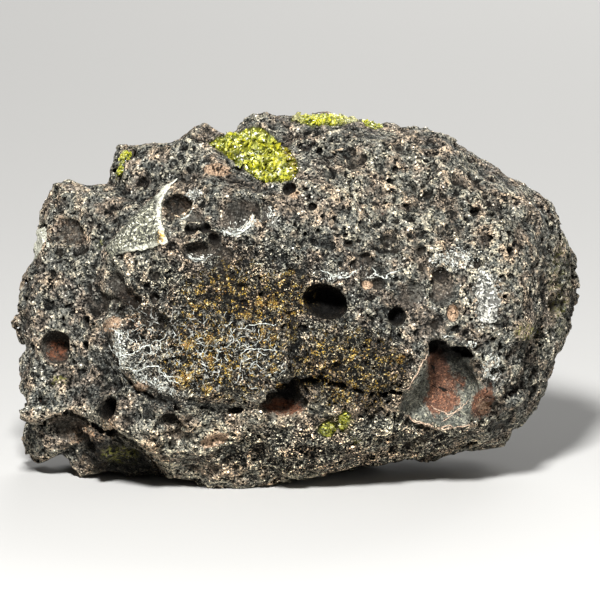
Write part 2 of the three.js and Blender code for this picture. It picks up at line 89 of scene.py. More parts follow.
BRONZE_SWELLING = [
    (-48, -5), (-45, -16), (-40, -21), (-30, -24.5), (-15, -26), (-5, -25), (-2, -18), (-1, -4), (-10, 8),
    (-30, 2), (-40, -3),
]
RIGHT_SWELLING = [(0, -4), (10, -6), (22, -6), (28, -11), (27, -20), (15, -22), (6, -19.5), (0, -20)]
LEFT_FACE = [
    (-30, 31), (-38, 24), (-49, 12), (-49, 2), (-47, -12), (-42, -22), (-52, -27), (-75, -27), (-75, 40),
    (-46, 40), (-44, 30),
]
BUBBLE_HOLLOW = [(-34, 24), (-28, 26), (-19, 24), (-19, 12), (-25, 8.5), (-32, 13)]
UNDERCUT_CORNER = [
    (-75, -31), (-66, -31), (-57, -28), (-51, -30), (-42, -35), (-34, -42), (-36, -60), (-75, -60),
]
LOWER_HUMP = [(0, -24), (12, -23), (24, -25), (27, -31), (20, -35), (8, -36), (0, -33)]
LEDGES = [  # outline, rise and the width of its edge
    (BRONZE_SWELLING, 2.6, 1.6),
    (RIGHT_SWELLING, 1.3, 2.0),
    (LEFT_FACE, -2.4, 1.4),
    (BUBBLE_HOLLOW, -1.8, 1.5),
    (UNDERCUT_CORNER, -6.0, 1.8),
    (LOWER_HUMP, 1.6, 2.2),
]

FRONT_BUBBLES = [  # where each opens, its half widths, its turn in degrees and its depth
    ((36.6, -22.8), (7.8, 7.6), 0, 7.8),
    ((37.0, -15.8), (4.4, 4.2), 0, 8.5),
    ((34.0, -11.7), (2.3, 1.8), -10, 9.0),
    ((36.2, -12.9), (1.7, 1.3), 0, 9.0),
    ((39.3, -12.7), (1.5, 1.1), -20, 8.5),
    ((41.2, -13.6), (1.4, 1.3), -35, 7.0),
    ((6.3, -0.5), (5.6, 4.1), -22, 11.0),
    ((-60.7, -11.7), (4.1, 4.1), 0, 6.5),
    ((-48, -27), (2.5, 3.2), 0, 12.0),
    ((-4, -25.4), (6.2, 3.8), 0, 8.0),
    ((-57, -34), (6.5, 4.2), -25, 6.5),
    ((-58, 17), (5.2, 3.2), 5, 2.8),
    ((-30.3, 23.3), (3.8, 3.2), -20, 5.0),
    ((-26.5, 21.2), (3.0, 2.3), -30, 3.4),
    ((-26.9, 17.5), (1.7, 1.5), 0, 4.5),
    ((-23.6, 17.8), (1.6, 1.5), 0, 4.5),
    ((-21.3, 14.8), (1.5, 2.2), 15, 5.0),
    ((-25, 12.2), (4.2, 2.4), 0, 4.2),
    ((-15.5, 21.6), (5.2, 4.8), 0, 5.4),
    ((-8.8, 22), (2.6, 2.7), 0, 3.0),
    ((-2.6, 27.6), (1.7, 1.7), 0, 4.4),
    ((16.8, 4), (2.0, 1.8), 0, 3.0),
    ((19.8, 4.3), (1.9, 1.7), 0, 4.6),
    ((27, 0.5), (4.4, 3.4), 30, 2.6),
    ((24, -4.2), (2.3, 2.3), 0, 5.0),
    ((35.5, 3), (4, 4.4), 0, 2.8),
    ((35, 6.4), (2.1, 2.0), 0, 4.0),
    ((37.8, -3.2), (1.5, 2.2), 0, 3.0),
    ((-21.2, -34.8), (4, 1.7), 20, 1.4),
    ((-31.8, -30.3), (2.8, 2.0), -25, 5.0),
    ((22, -34), (3.5, 2.2), 15, 2.8),
    ((64, -1.5), (2.8, 1.7), 10, 4.5),
]
MORE_BUBBLES = [  # further ones that the CAD solid doesn't have, in the same form
    ((-53.2, -5.5), (1.1, 1.6), 10, 4.0),
    ((-53.2, -11.3), (1.1, 1.1), 0, 3.5),
    ((1.2, 38), (1.6, 1.9), 0, 4.0),
    ((3.3, 38.8), (0.9, 0.8), 0, 3.0),
    ((4.8, 36.9), (0.9, 0.7), 0, 3.0),
    ((-36.3, 6), (1.6, 1.4), 0, 3.4),
    ((-36.3, 0.5), (1.6, 1.4), 0, 3.6),
    ((-15, 3.2), (1.5, 1.1), 0, 3.2),
    ((-2.6, -22.8), (2.7, 2.4), 0, 10.0),
    ((-1.4, -20.6), (1.4, 2.0), 0, 8.0),
    ((-4.6, -21.6), (1.5, 1.2), 30, 7.0),
    ((-16, -27.3), (2.0, 1.2), 10, 4.5),
    ((-32.3, 20.2), (1.0, 1.5), 20, 2.6),
    ((22.5, 29.5), (1.0, 0.9), 0, 3.0),
    ((4.9, 37.4), (0.7, 0.7), 0, 2.6),
    ((48, -17.5), (1.2, 1.0), 0, 2.8),
    ((-12.2, 25.2), (1.0, 0.8), 0, 2.6),
    ((12, 14), (1.2, 0.9), 0, 2.6),
    ((30, 12.5), (1.4, 1.1), 20, 3.4),
    ((43.5, 22), (1.3, 1.1), 0, 3.0),
    ((52, 12), (1.5, 1.2), 30, 3.4),
    ((27.5, 20), (1.1, 1.0), 0, 3.0),
    ((56, -11), (1.7, 1.3), 20, 3.4),
]
CLEFTS = [  # the line of each, its half width and its depth
    ([(-47, 4), (-41, 0), (-34, -7.5)], 2.2, 4.8),
    ([(0, -20.2), (5, -19.6), (9, -20.8), (12, -22)], 0.9, 4.0),
    ([(13.6, -22.4), (16.5, -22.9), (18.6, -22.6)], 0.7, 3.4),
    ([(20, -23.2), (22.6, -22.6), (25, -23.2)], 0.8, 3.6),
    ([(-45.5, -17.5), (-40, -22.5), (-33, -26.5)], 0.8, 2.2),
    ([(-1.8, -3), (-1.6, -10), (-1.9, -21)], 0.9, 3.0),
    ([(32.6, -12.6), (33.6, -10.8), (35.8, -11)], 0.8, 8.0),
    ([(38.4, -12.4), (40.3, -12), (42, -13.4), (43, -15)], 0.7, 7.0),
    ([(-65, -31.5), (-57.5, -28.6), (-51, -31.4), (-42, -35.6), (-35, -42)], 1.2, 5.0),
]
BOWL = [  # the smooth hollow with a rusty lining
    (32.4, -10.8), (34, -10.2), (36, -10.5), (37, -12), (38, -12.4), (38.9, -11.8), (40.5, -11.9),
    (41.5, -13), (42.8, -15.8), (44, -18.8), (44.4, -21.6), (43.2, -24), (43, -27), (42.6, -30.6),
    (40, -31.7), (36.3, -32.2), (30, -31), (26, -28.8), (24.3, -26.4), (25.2, -24.4), (28.1, -19.3),
    (29.9, -16.2), (31.6, -13),
]
BOWL_SIDE = [  # its shallow side
    (43.6, -19), (45.2, -20.2), (47.6, -23.4), (48.8, -25.2), (48, -27.4), (45.4, -29.6), (42.4, -30.6),
    (41.8, -27), (42.4, -23),
]
BOWL_CUTS = [(BOWL, 5.8, 8.2), (BOWL_SIDE, 1.3, 4.0)]  # with the depth, and how far in it is deepest
BUBBLE_SUNK = 0.25  # how far in a bubble's middle lies, as a share of its depth
FACE_LOOK = 1.5  # how strongly bubbles on the front face straight out of it

BOWL_RIMS = {  # pale lines in the bowl, by their radius; those along its rim are also painted highlight where the rim catches the light
    0.22: [
        [(31.6, -13), (30, -16.2), (28.2, -19.3), (25.4, -24)],
        [(26, -28.6), (29.6, -30.6), (33, -31.6), (36.8, -32), (40, -31.4), (43, -30.2)],
        [(28, -29.4), (31, -30.8), (35, -31.6), (38.5, -31.8)],
    ],
    0.13: [
        [(32.5, -25.8), (34.3, -27.3), (36.8, -28.5), (39, -27.3), (40.5, -25.5)],
        [(35, -30.3), (36.8, -29.3), (38.8, -27.8), (41.3, -25.8), (42.3, -24.4)],
        [(42.8, -27.4), (44.6, -29.2)],
    ],
}
# black tubes along cracks in the bowl, as painted shade for the cracks, by their radius
BOWL_CRACKS = {
    0.5: [
        [(32.2, -16), (33.2, -17), (33.7, -18.8)],
        [(34.4, -21.3), (36.7, -22.6)],
    ],
    0.34: [
        [(35.3, -20.6), (34.8, -21.6)],
        [(32.5, -21), (34.3, -22)],
        [(45, -25), (46.5, -24), (47.5, -24.4)],
    ],
}
VEINS = {  # white threads on the front, by their radius
    0.32: [
        [(-19.2, 17.2), (-17, 16.4), (-14.4, 16.8), (-12.2, 18.6), (-11.4, 21)],
        [(-29.6, 20.2), (-27.8, 20.9), (-26.8, 22.4)],
        [(-27.6, 11), (-25.6, 10.1), (-23.4, 10.2)],
    ],
    0.17: [
        [(-48.5, -7), (-44.7, -8), (-44.3, -12), (-44.6, -14.5), (-44.2, -17.5), (-43, -19)],
        [(-47.5, -11), (-45.2, -14.2), (-42.2, -13.5), (-38, -11.2), (-34.8, -10.2), (-33, -7.8)],
        [(-41.8, -17.2), (-38.8, -17), (-35, -16.4), (-32, -19), (-30, -19)],
        [(-33.8, -17.5), (-32.5, -20), (-29.3, -21.2)],
        [(-15.5, -7), (-13, -6.2), (-8.5, -5.8), (-5.8, -6)],
        [(-19.5, 17.6), (-17, 16.6), (-14.2, 17.2), (-12.2, 19.2), (-11.7, 21.5)],
        [(5, 7.6), (7.5, 6.3), (10, 5.8), (13, 6.8), (15.3, 8.5)],
        [(17.3, 8.2), (18.5, 6.6), (20, 5.8), (22.3, 6.6), (24.5, 7.6)],
    ],
    0.12: [
        [(-34.7, -10.2), (-34.5, -12), (-33.8, -13.4)],
        [(-42.3, -8), (-40.5, -7.2), (-38.2, -6.2)],
        [(-38.8, -12.6), (-37.5, -13.2), (-35.5, -13), (-34.7, -11.6)],
        [(-38.3, -12.8), (-38.8, -14.5), (-40, -16), (-41.8, -17.2), (-45.5, -16.4)],
        [(-38.3, -19.5), (-37, -20.5), (-35.4, -21.6)],
        [(-45, -17.5), (-44, -19), (-42.8, -20.2)],
        [(-25.2, -14.6), (-24.2, -13), (-23, -11.2)],
        [(-23.5, -12.5), (-22, -12.6), (-20.2, -12.5), (-19, -11.4), (-17.5, -11.2), (-16.8, -9.5)],
        [(-14.8, -13.6), (-13.5, -12.4), (-12, -12), (-10.5, -12), (-8.5, -12.3), (-5.8, -12.5)],
        [(-10.5, -12), (-10.5, -14), (-10.8, -15.8), (-9.8, -16.8), (-8.5, -16.8)],
        [(-24.8, -15.5), (-23.5, -16.2), (-22.2, -17.8), (-20.8, -17.8), (-19.5, -17)],
        [(-25, -19.5), (-23.8, -20.8), (-23, -22)],
        [(-13, -20.8), (-11.8, -22), (-10, -22)],
        [(-8, 24), (-7, 22), (-8, 20)],
        [(-28, 10.5), (-26, 9.5), (-23.5, 9.8), (-22, 11)],
        [(35, -9.5), (36.5, -8.8), (38.5, -9)],
    ],
}
WEB_THREADS = 210  # still finer threads, strewn over the web
WEB_THREAD_RADIUS = 0.085
WEB_THREAD_LENGTHS = (1, 3.5)
WEB_SPREAD = 2.2  # how many of their spreads fit in half the web's width
VEIN_STEP = 0.3
VEIN_WIDTHS = (0.5, 1.3)  # how much a vein's radius varies
VEIN_TAPER = 3  # over how many points its ends grow thin, and how many more the tip counts as
VEIN_TIP = 0.4

SEEN_FROM = {  # which of u, v and w run across, up and out of an outline, and which way
    "front": ((0, 1), (1, 1), (2, 1)),
    "top": ((0, 1), (2, -1), (1, 1)),
    "left": ((2, 1), (1, 1), (0, -1)),
}
CLUSTER = [
    (-23, 39), (-19.5, 41), (-15.5, 41.8), (-12, 43), (-9.5, 43), (-7, 41), (-5, 38.5), (-2.5, 37),
    (-1, 35), (-0.4, 32.5), (-1.2, 30.5), (-4, 29.4), (-7.5, 29.2), (-10.5, 30), (-13, 31.8),
    (-15.2, 33), (-17, 35), (-20, 37),
]
RIDGE_CRUST = [(-1, -5), (4, -6.5), (10, -6), (14, -3.5), (14.5, 2), (9, 4.5), (3, 4), (-1, 1.5)]
RIDGE_BEAD = [(16.2, -3), (18.5, -3.2), (20.6, -1.5), (20.2, 1.4), (17.5, 2.2), (16, 0.2)]
SHOULDER_CRUST = [(-4, 31), (4.5, 30.8), (7, 33.5), (6, 37.2), (-3, 37.6), (-5, 34.5)]
GRAIN_WEST = [(4.6, -32.2), (6.2, -30.2), (8.2, -30.4), (9, -32.2), (7.8, -34), (5.6, -34)]
GRAIN_EAST = [(9.4, -28.6), (11.2, -27.4), (12.6, -28.2), (12.4, -30.6), (11, -32.4), (9.4, -31.4)]
PALE_NODULE = [
    (-30.7, 30.2), (-33.2, 27), (-34.6, 23.5), (-34.6, 20), (-33.7, 17), (-32.5, 14.2), (-37.5, 12.6),
    (-43.7, 11.7), (-47, 10.5), (-48.6, 12.5), (-42.5, 19.5), (-38, 24.2), (-34, 28),
]
PALE_EDGE = [(-3, 10.4), (2.5, 10), (5.5, 12.5), (5, 17), (0, 18.2), (-3.5, 15)]
WHITE_PATCH = [
    (44.6, 7.2), (47.4, 6.4), (48.2, 3), (49.6, 0), (49, -3.4), (48.2, -5.6), (45, -5.8), (43.6, -4),
    (44.4, -1), (43.4, 1.6), (44, 4.6),
]
RIDGE_FACE = [
    (-2.4, 44.8), (-0.6, 47), (14, 47), (15, 44.6), (12.5, 44.2), (9, 43.4), (6, 43.9), (3, 43.2),
    (0.5, 44.2),
]
BEAD_FACE = [(16, 43.6), (16.5, 46), (20.5, 46), (21, 43), (18.5, 42.4)]
SHOULDER_FACE = [(-49.5, 29.6), (-48, 39.5), (-44, 39.5), (-44.5, 35), (-44.9, 31.5), (-46, 29.6)]
PERIDOTS = [  # node, outlines and what they are seen from, pocket depth, and the grains' size
    ("peridot_cluster", [("front", CLUSTER)], 1.0, 1.35),
    ("peridot_ridge_crust", [("top", RIDGE_CRUST), ("front", RIDGE_FACE)], 0.6, 0.8),
    ("peridot_ridge_bead", [("top", RIDGE_BEAD), ("front", BEAD_FACE)], 0.5, 0.7),
    ("peridot_shoulder_crust", [("left", SHOULDER_CRUST), ("front", SHOULDER_FACE)], 0.6, 0.75),
    ("peridot_grain_west", [("front", GRAIN_WEST)], 0.8, 0.65),
    ("peridot_grain_east", [("front", GRAIN_EAST)], 0.8, 0.65),
]
GRAIN_INSET = 0.5  # how far inside their outline grains stay, as a share of their radius
GRAIN_STRAY = 0.2  # how far grains stray from their places, as a share of their radius
GRAIN_SIZES = (0.7, 1.35)  # how much grains vary in size
GRAIN_LAYERS = [  # from and to which share of the pocket's depth, radius as a share of the size, and how
    # many radii apart
    (-0.9, -0.1, 1.7, 2.2),
    (-1.0, -0.4, 1.0, 1.0),
    (-0.5, 0.2, 0.72, 1.6),
    (-0.2, 0.6, 0.30, 3.0),
]
CRUSTS = [  # node, what it is seen from, outline, and how far it stands proud of the rock
    ("pale_nodule", "front", PALE_NODULE, 0.9),
    ("pale_edge_nodule", "left", PALE_EDGE, 0.3),
    ("white_mineral_patch", "front", WHITE_PATCH, 0.6),
]
CRUST_MARGIN = 1  # how far a crust's grid goes beyond its outline
LEFT_END = (-74, -50)  # from and to which u the crusts seen from the left lie
CRUMBLE = [(1.3, 1, 60), (0.7, 0.6, 61)]  # how far apart and how high its crumbs are, and their seed
SIDE_CRUMBLE = 0.35  # how far they stand out at a crust's side and on its top
TOP_CRUMBLE = 0.12
CRUST_DEPTH = 2  # how far a crust goes into the rock
CRUST_EDGE = 0.5  # how wide its upper and its lower edge are rounded
CRUST_FOOT = 0.3

# ---------------------------------------------------------------- sizes of the looks, mm

VOXEL = 0.42
CRUST_VOXEL = 0.3
GRID = ((-74, 72), (-50, 49), (-45, 43))
ROCK_FACES = 190_000
BACK_WEIGHT = 1.0  # at full weight an edge costs nothing more to collapse, and at half it does
FRONT_WEIGHT = 0.5
FRONT_KEPT = 4e-6  # how much dearer edges in front are to collapse than those behind
NEAR_STEPS = 0.6  # how many grid steps from the surface still count as on it
SKIN = 3.5  # how far to either side of the surface its roughness is worked out
ROUGHNESS = [  # how far apart and how high, and whether it is folded into sharp ridges
    (9.0, 0.85, False),
    (4.6, 0.75, False),
    (2.4, 0.30, True),
    (1.2, 0.45, False),
]
ROUGHNESS_SEED = 20
FOLD = 3  # how far folded noise reaches down
LATTICE = 64  # points along each side of the lattice that noise comes from
BUBBLE_EDGE = 0.25  # how wide the edges of what is cut out are rounded
BOWL_EDGE = 0.3
POCKET_EDGE = 0.4
POCKET_FADE = (-0.3, 0.3)  # from and to how far inside a pocket's outline its floor turns green
POCKET_TOP = 0.2  # from how deep the floor is green, and how far below the pocket's depth
POCKET_BELOW = 1
BOWL_CURVE = 1.5  # how the bowl's floor steepens towards its wall
BOWL_WALL = 5  # how steeply its wall goes on outside its outline
BOWL_FADE = (0, 0.7)  # from and to how far inside its outline its colour comes up
CLEFT_WIDTHS = (0.7, 1.15)  # how much a cleft's width and depth vary along it
CLEFT_DEPTHS = (0.7, 1.1)
CLEFT_SPACING = 0.6  # how far apart its ellipsoids lie, as a share of its half width, and this much more
CLEFT_LEAST_STEP = 0.3
CLEFT_STRAY = 0.3  # how far they stray from its line, as a share of its half width
BUBBLE_NARROWNESS = (0.6, 1)  # how much narrower spread bubbles are one way than the other
TURN_ASIDE = 0.25  # how far spread bubbles point away from straight in
RISE_REACH = 2.6  # how far around each point its larger rise is measured, for the painted highlight and shade that follow it
ROUGH_HOLLOWS = [  # how many, least and most radius, how steeply large ones thin out, and w they keep behind
    (420, 1.2, 3.2, 1.5, 60),
    (900, 0.7, 1.6, 1.5, 60),
]
SPREAD_BUBBLES = [
    (380, 0.9, 3.4, 3.0, 2),
    (120, 0.7, 1.4, 2.0, 60),
    (9000, 0.36, 0.8, 1.8, 60),
]
ROUGH_DEEPNESS = (0.25, 0.6)  # the depth of each, as a share of its radius
BUBBLE_DEEPNESS = (0.9, 2.0)
BARE = -1.2  # grit lies where the rock isn't cut deeper than this
GRIT_ABOVE = 1.5  # and this far above the base
GRIT = [("front", 22_000, 1), ("back", 18_000, -1)]  # how many grains, and which way w runs there
GRIT_SPLIT = 2  # the w that parts front from back
BRONZE_FLAKES = 2000
WHITE_CRUMBS = 1800
GOLD_CLUMPING = 16  # how much denser the flakes lie in the gold spots than around them
CHIPS_MADE = 1
CHIP_SHAPES = 12  # how many shapes the chips of a mesh share
CHIP_FORMS = {  # how many corners each has, and from and to what share each side is stretched
    "grain": (7, (0.55, 1.3)),
    "crystal": (8, (0.6, 1.2)),
    "grit": (6, (0.6, 1.3)),
    "flake": (6, (0.35, 1.3)),
}
CORNER_REACH = (0.85, 1)  # how far out a chip's corners lie
CHIP_RADII = {"grit": (0.10, 0.18, 3), "flake": (0.14, 0.32, 2)}  # least, range and how large ones thin out
GRIT_SUNK = 0.25  # how deep grit sits, as a share of its radius
BROWN_SLANT = 0.4
CLUSTER_BROWN = (9.5, 12)  # from and to which u + 0.4 v the cluster's grains turn brown
RIDGE_PALE_WEST = (-1.5, 1.5)  # from and to which -u and u the ridge crust is bleached
RIDGE_PALE_EAST = (8, 15)
PALE_STAIN = [(-34.6, 15.6, 1.0, 1.7)]
RIM_FADE = (-1.6, -0.5)  # the pale nodule's bright rim, from and to this far inside its outline
RIM_RIGHT = (-36.2, -35.2)  # which is on its right, by u, and along its lower edge, by 0.8 u - v
RIM_SLANT = 0.8
RIM_LOW = (-48.5, -44)
# painted light: how much of the bright rim colour the pale edge nodule gets all over, as it faces away from
# the lamps
EDGE_NODULE_LIGHT = 0.5
SOLID_BELOW = (1.8, 3)  # from and to which -v and v the white patch is solid
SOLID_ABOVE = (2.2, 3.4)
WHITE_CRYSTALS = 260
WHITE_INSET = 0.3  # how far inside the patch's outline they stay
WHITE_GAP_V = 0.3  # they are fewest around this v, and none is left out from this far on
WHITE_GAP = 5
WHITE_RADII = (0.25, 0.6)
WHITE_FOOT = (0, 4)  # from and to which -v the crystals grow larger, and by how much
FOOT_GROWTH = 0.45

# ---------------------------------------------------------------- fields on a grid


def smoothstep(x, low, high):
    t = np.clip((x - low) / (high - low), 0, 1)
    return t * t * (3 - 2 * t)


def rounded_max(a, b, width):
    h = np.maximum(width - np.abs(a - b), 0) / width
    return np.maximum(a, b) + h * h * width / 4


def outline_distance(x, y, outline):
    """Signed distance to a closed outline, negative inside."""
    nearest = np.full(np.broadcast(x, y).shape, np.inf)
    inside = np.zeros(nearest.shape, bool)
    for (x0, y0), (x1, y1) in zip(outline[-1:] + outline[:-1], outline):
        dx, dy = x1 - x0, y1 - y0
        t = np.clip(((x - x0) * dx + (y - y0) * dy) / (dx * dx + dy * dy), 0, 1)
        nearest = np.minimum(nearest, np.hypot(x - x0 - t * dx, y - y0 - t * dy))
        if dy:
            inside ^= ((y0 > y) != (y1 > y)) & (x < (x1 - x0) * (y - y0) / dy + x0)
    return np.where(inside, -nearest, nearest)


by_angle = np.array(sorted(OUTLINE, key=lambda p: math.atan2(p[1], p[0])), float)
outline_angles = np.arctan2(by_angle[:, 1], by_angle[:, 0])


def outline_radius(angle):
    after = np.searchsorted(outline_angles, angle) % len(by_angle)
    a, b = by_angle[after - 1], by_angle[after]
    cross = a[..., 0] * b[..., 1] - a[..., 1] * b[..., 0]
    return cross / (np.cos(angle) * (b[..., 1] - a[..., 1]) - np.sin(angle) * (b[..., 0] - a[..., 0]))


def rounded_body(u, v, w):
    depth = np.where(w > 0, FRONT_DEPTH, BACK_DEPTH)
    fullness = np.where(w > 0, FRONT_FULLNESS, BACK_FULLNESS)
    across = np.hypot(u, v) / outline_radius(np.arctan2(v, u))
    size = (across**fullness + (np.abs(w) / depth) ** fullness) ** (1 / fullness)
    return np.sqrt(u * u + v * v + w * w) * (1 - 1 / np.maximum(size, 1e-3))


def lumps(u, v, w):
    bend = 1.3
    total = 0
    for apart, height, shift in LUMPS:
        x, y, z = (2 * math.pi * c / apart + shift * (i + 1) for i, c in enumerate((u, v, w)))
        crossed = np.sin(x + bend * np.sin(y)) * np.sin(y + bend * np.sin(z))
        total = total + height * (crossed + np.sin(z + bend * np.sin(x)))
    return total * smoothstep(np.abs(w), *LUMPS_FADE)


def ledge_rise(u, v, w):
    rise = sum(h * (1 - smoothstep(outline_distance(u, v, o), -edge, edge)) for o, h, edge in LEDGES)
    return rise * smoothstep(w, *FRONT_FADE)


def block_field(u, v, w):
    """Below zero inside the block and above zero outside it, in about millimetres."""
    field = rounded_body(u, v, w)
    for through, normal in BREAKS:
        n = np.array(normal) / np.linalg.norm(normal)
        height = n[0] * (u - through[0]) + n[1] * (v - through[1]) + n[2] * (w - through[2])
        field = rounded_max(field, height, EDGE_ROUND)
    return field - lumps(u, v, w) - ledge_rise(u, v, w)


def above_base(v, w):
    return v * math.cos(FACE_LEAN) + w * math.sin(FACE_LEAN) + BASE_DROP


def random_turns(count, random):
    """Random rotations, as matrices."""
    w, x, y, z = (random.normal(size=(count, 4)).T).copy()
    size = np.sqrt(w * w + x * x + y * y + z * z)
    w, x, y, z = w / size, x / size, y / size, z / size
    rows = [
        [1 - 2 * (y * y + z * z), 2 * (x * y - z * w), 2 * (x * z + y * w)],
        [2 * (x * y + z * w), 1 - 2 * (x * x + z * z), 2 * (y * z - x * w)],
        [2 * (x * z - y * w), 2 * (y * z + x * w), 1 - 2 * (x * x + y * y)],
    ]
    return np.moveaxis(np.array(rows), 2, 0)


def blended(values, whole, part):
    """Values between the points of a grid that repeats, by linear blending."""
    total = 0
    for corner in np.ndindex(2, 2, 2):
        weight = np.prod(np.where(corner, part, 1 - part), axis=1)
        total = total + weight * values[tuple(((whole + corner) % values.shape).T)]
    return total


def noise_at(points, apart, seed):
    """Smooth noise from -1 to 1 at points, from a lattice that is turned its own way and repeats."""
    random = np.random.default_rng(seed)
    values = random.uniform(-1, 1, (LATTICE,) * 3).astype(np.float32)
    place = points @ random_turns(1, random)[0].T.astype(np.float32) / apart
    whole = np.floor(place).astype(np.int32)
    part = place - whole
    return blended(values, whole, part * part * (3 - 2 * part))


def surface_noise(points):
    """How far the broken surface stands out, in millimetres."""
    total = 0
    for i, (apart, height, folded) in enumerate(ROUGHNESS):
        noise = noise_at(points, apart, ROUGHNESS_SEED + i)
        total = total + height * (1 - FOLD * np.abs(noise) if folded else noise)
    return total


def grid_axes(ranges, step):
    u, v, w = (np.arange(low, high, step, dtype=np.float32) for low, high in ranges)
    return u[:, None, None], v[None, :, None], w[None, None, :]


class Field:
    """A distance field on a grid, with what cuts into it."""

    def __init__(self, ranges, step):
        self.step = step
        self.low = np.array([r[0] for r in ranges], float)
        self.axes = grid_axes(ranges, step)
        self.values = block_field(*self.axes).astype(np.float32)
        self.block = self.values.copy()

    def places(self, chosen):
        return (self.low + np.argwhere(chosen) * self.step).astype(np.float32)

    def roughen(self):
        near = np.abs(self.values) < SKIN
        self.values[near] -= surface_noise(self.places(near))

    def sample(self, points, values=None):
        """The field at points, by linear blending."""
        values = self.values if values is None else values
        place = (np.atleast_2d(points) - self.low) / self.step
        top = np.array(values.shape) - 2
        whole = np.clip(np.floor(place).astype(int), 0, top)
        return blended(values, whole, np.clip(place - whole, 0, 1))

    def slope(self, points, values=None, reach=0.9):
        """The unit direction in which the field grows fastest."""
        points = np.atleast_2d(points)
        steps = np.eye(3) * reach
        grown = [self.sample(points + s, values) - self.sample(points - s, values) for s in steps]
        grown = np.stack(grown, axis=1)
        return grown / np.maximum(np.linalg.norm(grown, axis=1, keepdims=True), 1e-6)

    def convexity(self, points, reach=1.0):
        """How far the field bends up around each point: above zero on edges and below it in hollows."""
        steps = np.eye(3) * reach
        around = sum(self.sample(points + s) + self.sample(points - s) for s in steps)
        return (around - 6 * self.sample(points)) / reach

    def fronts(self, places, values):
        """The points of a surface that face the front at places (u, v)."""
        w = self.axes[2].ravel()[::-1]
        columns = np.column_stack([np.repeat(places, len(w), axis=0), np.tile(w, len(places))])
        column = self.sample(columns, values).reshape(len(places), -1)
        first = np.maximum(np.argmax(column < 0, axis=1), 1)
        rows = np.arange(len(places))
        above, below = column[rows, first - 1], column[rows, first]
        return np.column_stack([places, w[first - 1] + above / (above - below) * (w[first] - w[first - 1])])

    def surface_points(self, count, random):
        """Points spread evenly over the uncut block's surface."""
        near = np.argwhere(np.abs(self.block) < NEAR_STEPS * self.step)
        chosen = near[random.integers(0, len(near), count)]
        return self.low + chosen * self.step

    def cut_ellipsoid(self, middle, axes, half):
        """Take away an ellipsoid. axes holds its three unit axes as rows."""
        reach = max(half) + BUBBLE_EDGE + self.step
        low = np.maximum(np.floor((middle - reach - self.low) / self.step).astype(int), 0)
        high = np.ceil((middle + reach - self.low) / self.step).astype(int) + 1
        part = tuple(slice(a, b) for a, b in zip(low, high))
        window = self.values[part]
        if window.size == 0:
            return
        offsets = [
            axis.ravel()[s].reshape([-1 if i == j else 1 for j in range(3)]) - middle[i]
            for i, (axis, s) in enumerate(zip(self.axes, part))
        ]
        along = [sum(row[i] * offsets[i] for i in range(3)) for row in axes]
        k0 = np.sqrt(sum((a / h) ** 2 for a, h in zip(along, half)))
        k1 = np.sqrt(sum((a / h**2) ** 2 for a, h in zip(along, half)))
        inside = k0 * (k0 - 1) / np.maximum(k1, 1e-6)
        self.values[part] = rounded_max(window, -inside, BUBBLE_EDGE)

    def cut_bubble(self, at, inward, half, turn, depth):
        """An ellipsoid that opens at a point of the surface, with its third axis going in."""
        side = np.cross([0, 1, 0] if abs(inward[1]) < 0.9 else [1, 0, 0], inward)
        side /= np.linalg.norm(side)
        up = np.cross(inward, side)
        if up[1] < 0:
            side, up = -side, -up
        c, s = math.cos(turn), math.sin(turn)
        rows = np.array([c * side - s * up, c * up + s * side, inward])
        widen = 1 / math.sqrt(1 - (BUBBLE_SUNK / (1 - BUBBLE_SUNK)) ** 2)
        halves = (half[0] * widen, half[1] * widen, depth * (1 - BUBBLE_SUNK))
        self.cut_ellipsoid(at + inward * depth * BUBBLE_SUNK, rows, halves)

    def cut_front_bubble(self, place, half, turn, depth):
        at = self.fronts(np.array([place], float), self.block)[0]
        inward = -self.slope(at, self.block)[0] - np.array([0, 0, FACE_LOOK])
        self.cut_bubble(at, inward / np.linalg.norm(inward), half, math.radians(turn), depth)

    def cut_cleft(self, line, half, depth, random):
        """A crooked groove: small ellipsoids strung along a line on the front face."""
        line = np.array(line, float)
        for start, end in zip(line[:-1], line[1:]):
            steps = int(np.linalg.norm(end - start) / (CLEFT_SPACING * half + CLEFT_LEAST_STEP)) + 1
            for t in np.linspace(0, 1, steps, endpoint=False):
                place = start + t * (end - start) + random.normal(0, CLEFT_STRAY * half, 2)
                width = half * random.uniform(*CLEFT_WIDTHS)
                self.cut_front_bubble(place, (width, width), 0, depth * random.uniform(*CLEFT_DEPTHS))

    def cut_bowl(self, outline, deep, slope):
        """A smooth hollow whose edge is an outline on the front face."""
        u, v, w = self.axes
        out = outline_distance(u, v, outline)
        sunk = deep * (1 - (1 - np.clip(-out / slope, 0, 1)) ** BOWL_CURVE) - BOWL_WALL * np.maximum(out, 0)
        self.cut(np.where(w > 0, self.block + sunk, -np.inf), BOWL_EDGE)

    def cut(self, room, edge):
        """Take away what a field holds above zero."""
        self.values = rounded_max(self.values, room, edge).astype(np.float32)


def cut_spread_bubbles(field, random, spread, deepness):
    """Bubbles or hollows strewn over the whole block."""
    for count, small, large, steepness, behind in spread:
        points = field.surface_points(count, random)
        points = points[points[:, 2] < behind]
        inward = -field.slope(points, field.block)
        radii = small + (large - small) * random.random(len(points)) ** steepness
        for at, way, radius in zip(points, inward, radii):
            way = way + random.normal(0, TURN_ASIDE, 3)
            way /= np.linalg.norm(way)
            half = (radius, radius * random.uniform(*BUBBLE_NARROWNESS))
            depth = radius * random.uniform(*deepness)
            field.cut_bubble(at, way, half, random.uniform(0, math.pi), depth)


# ---------------------------------------------------------------- from a field to a mesh


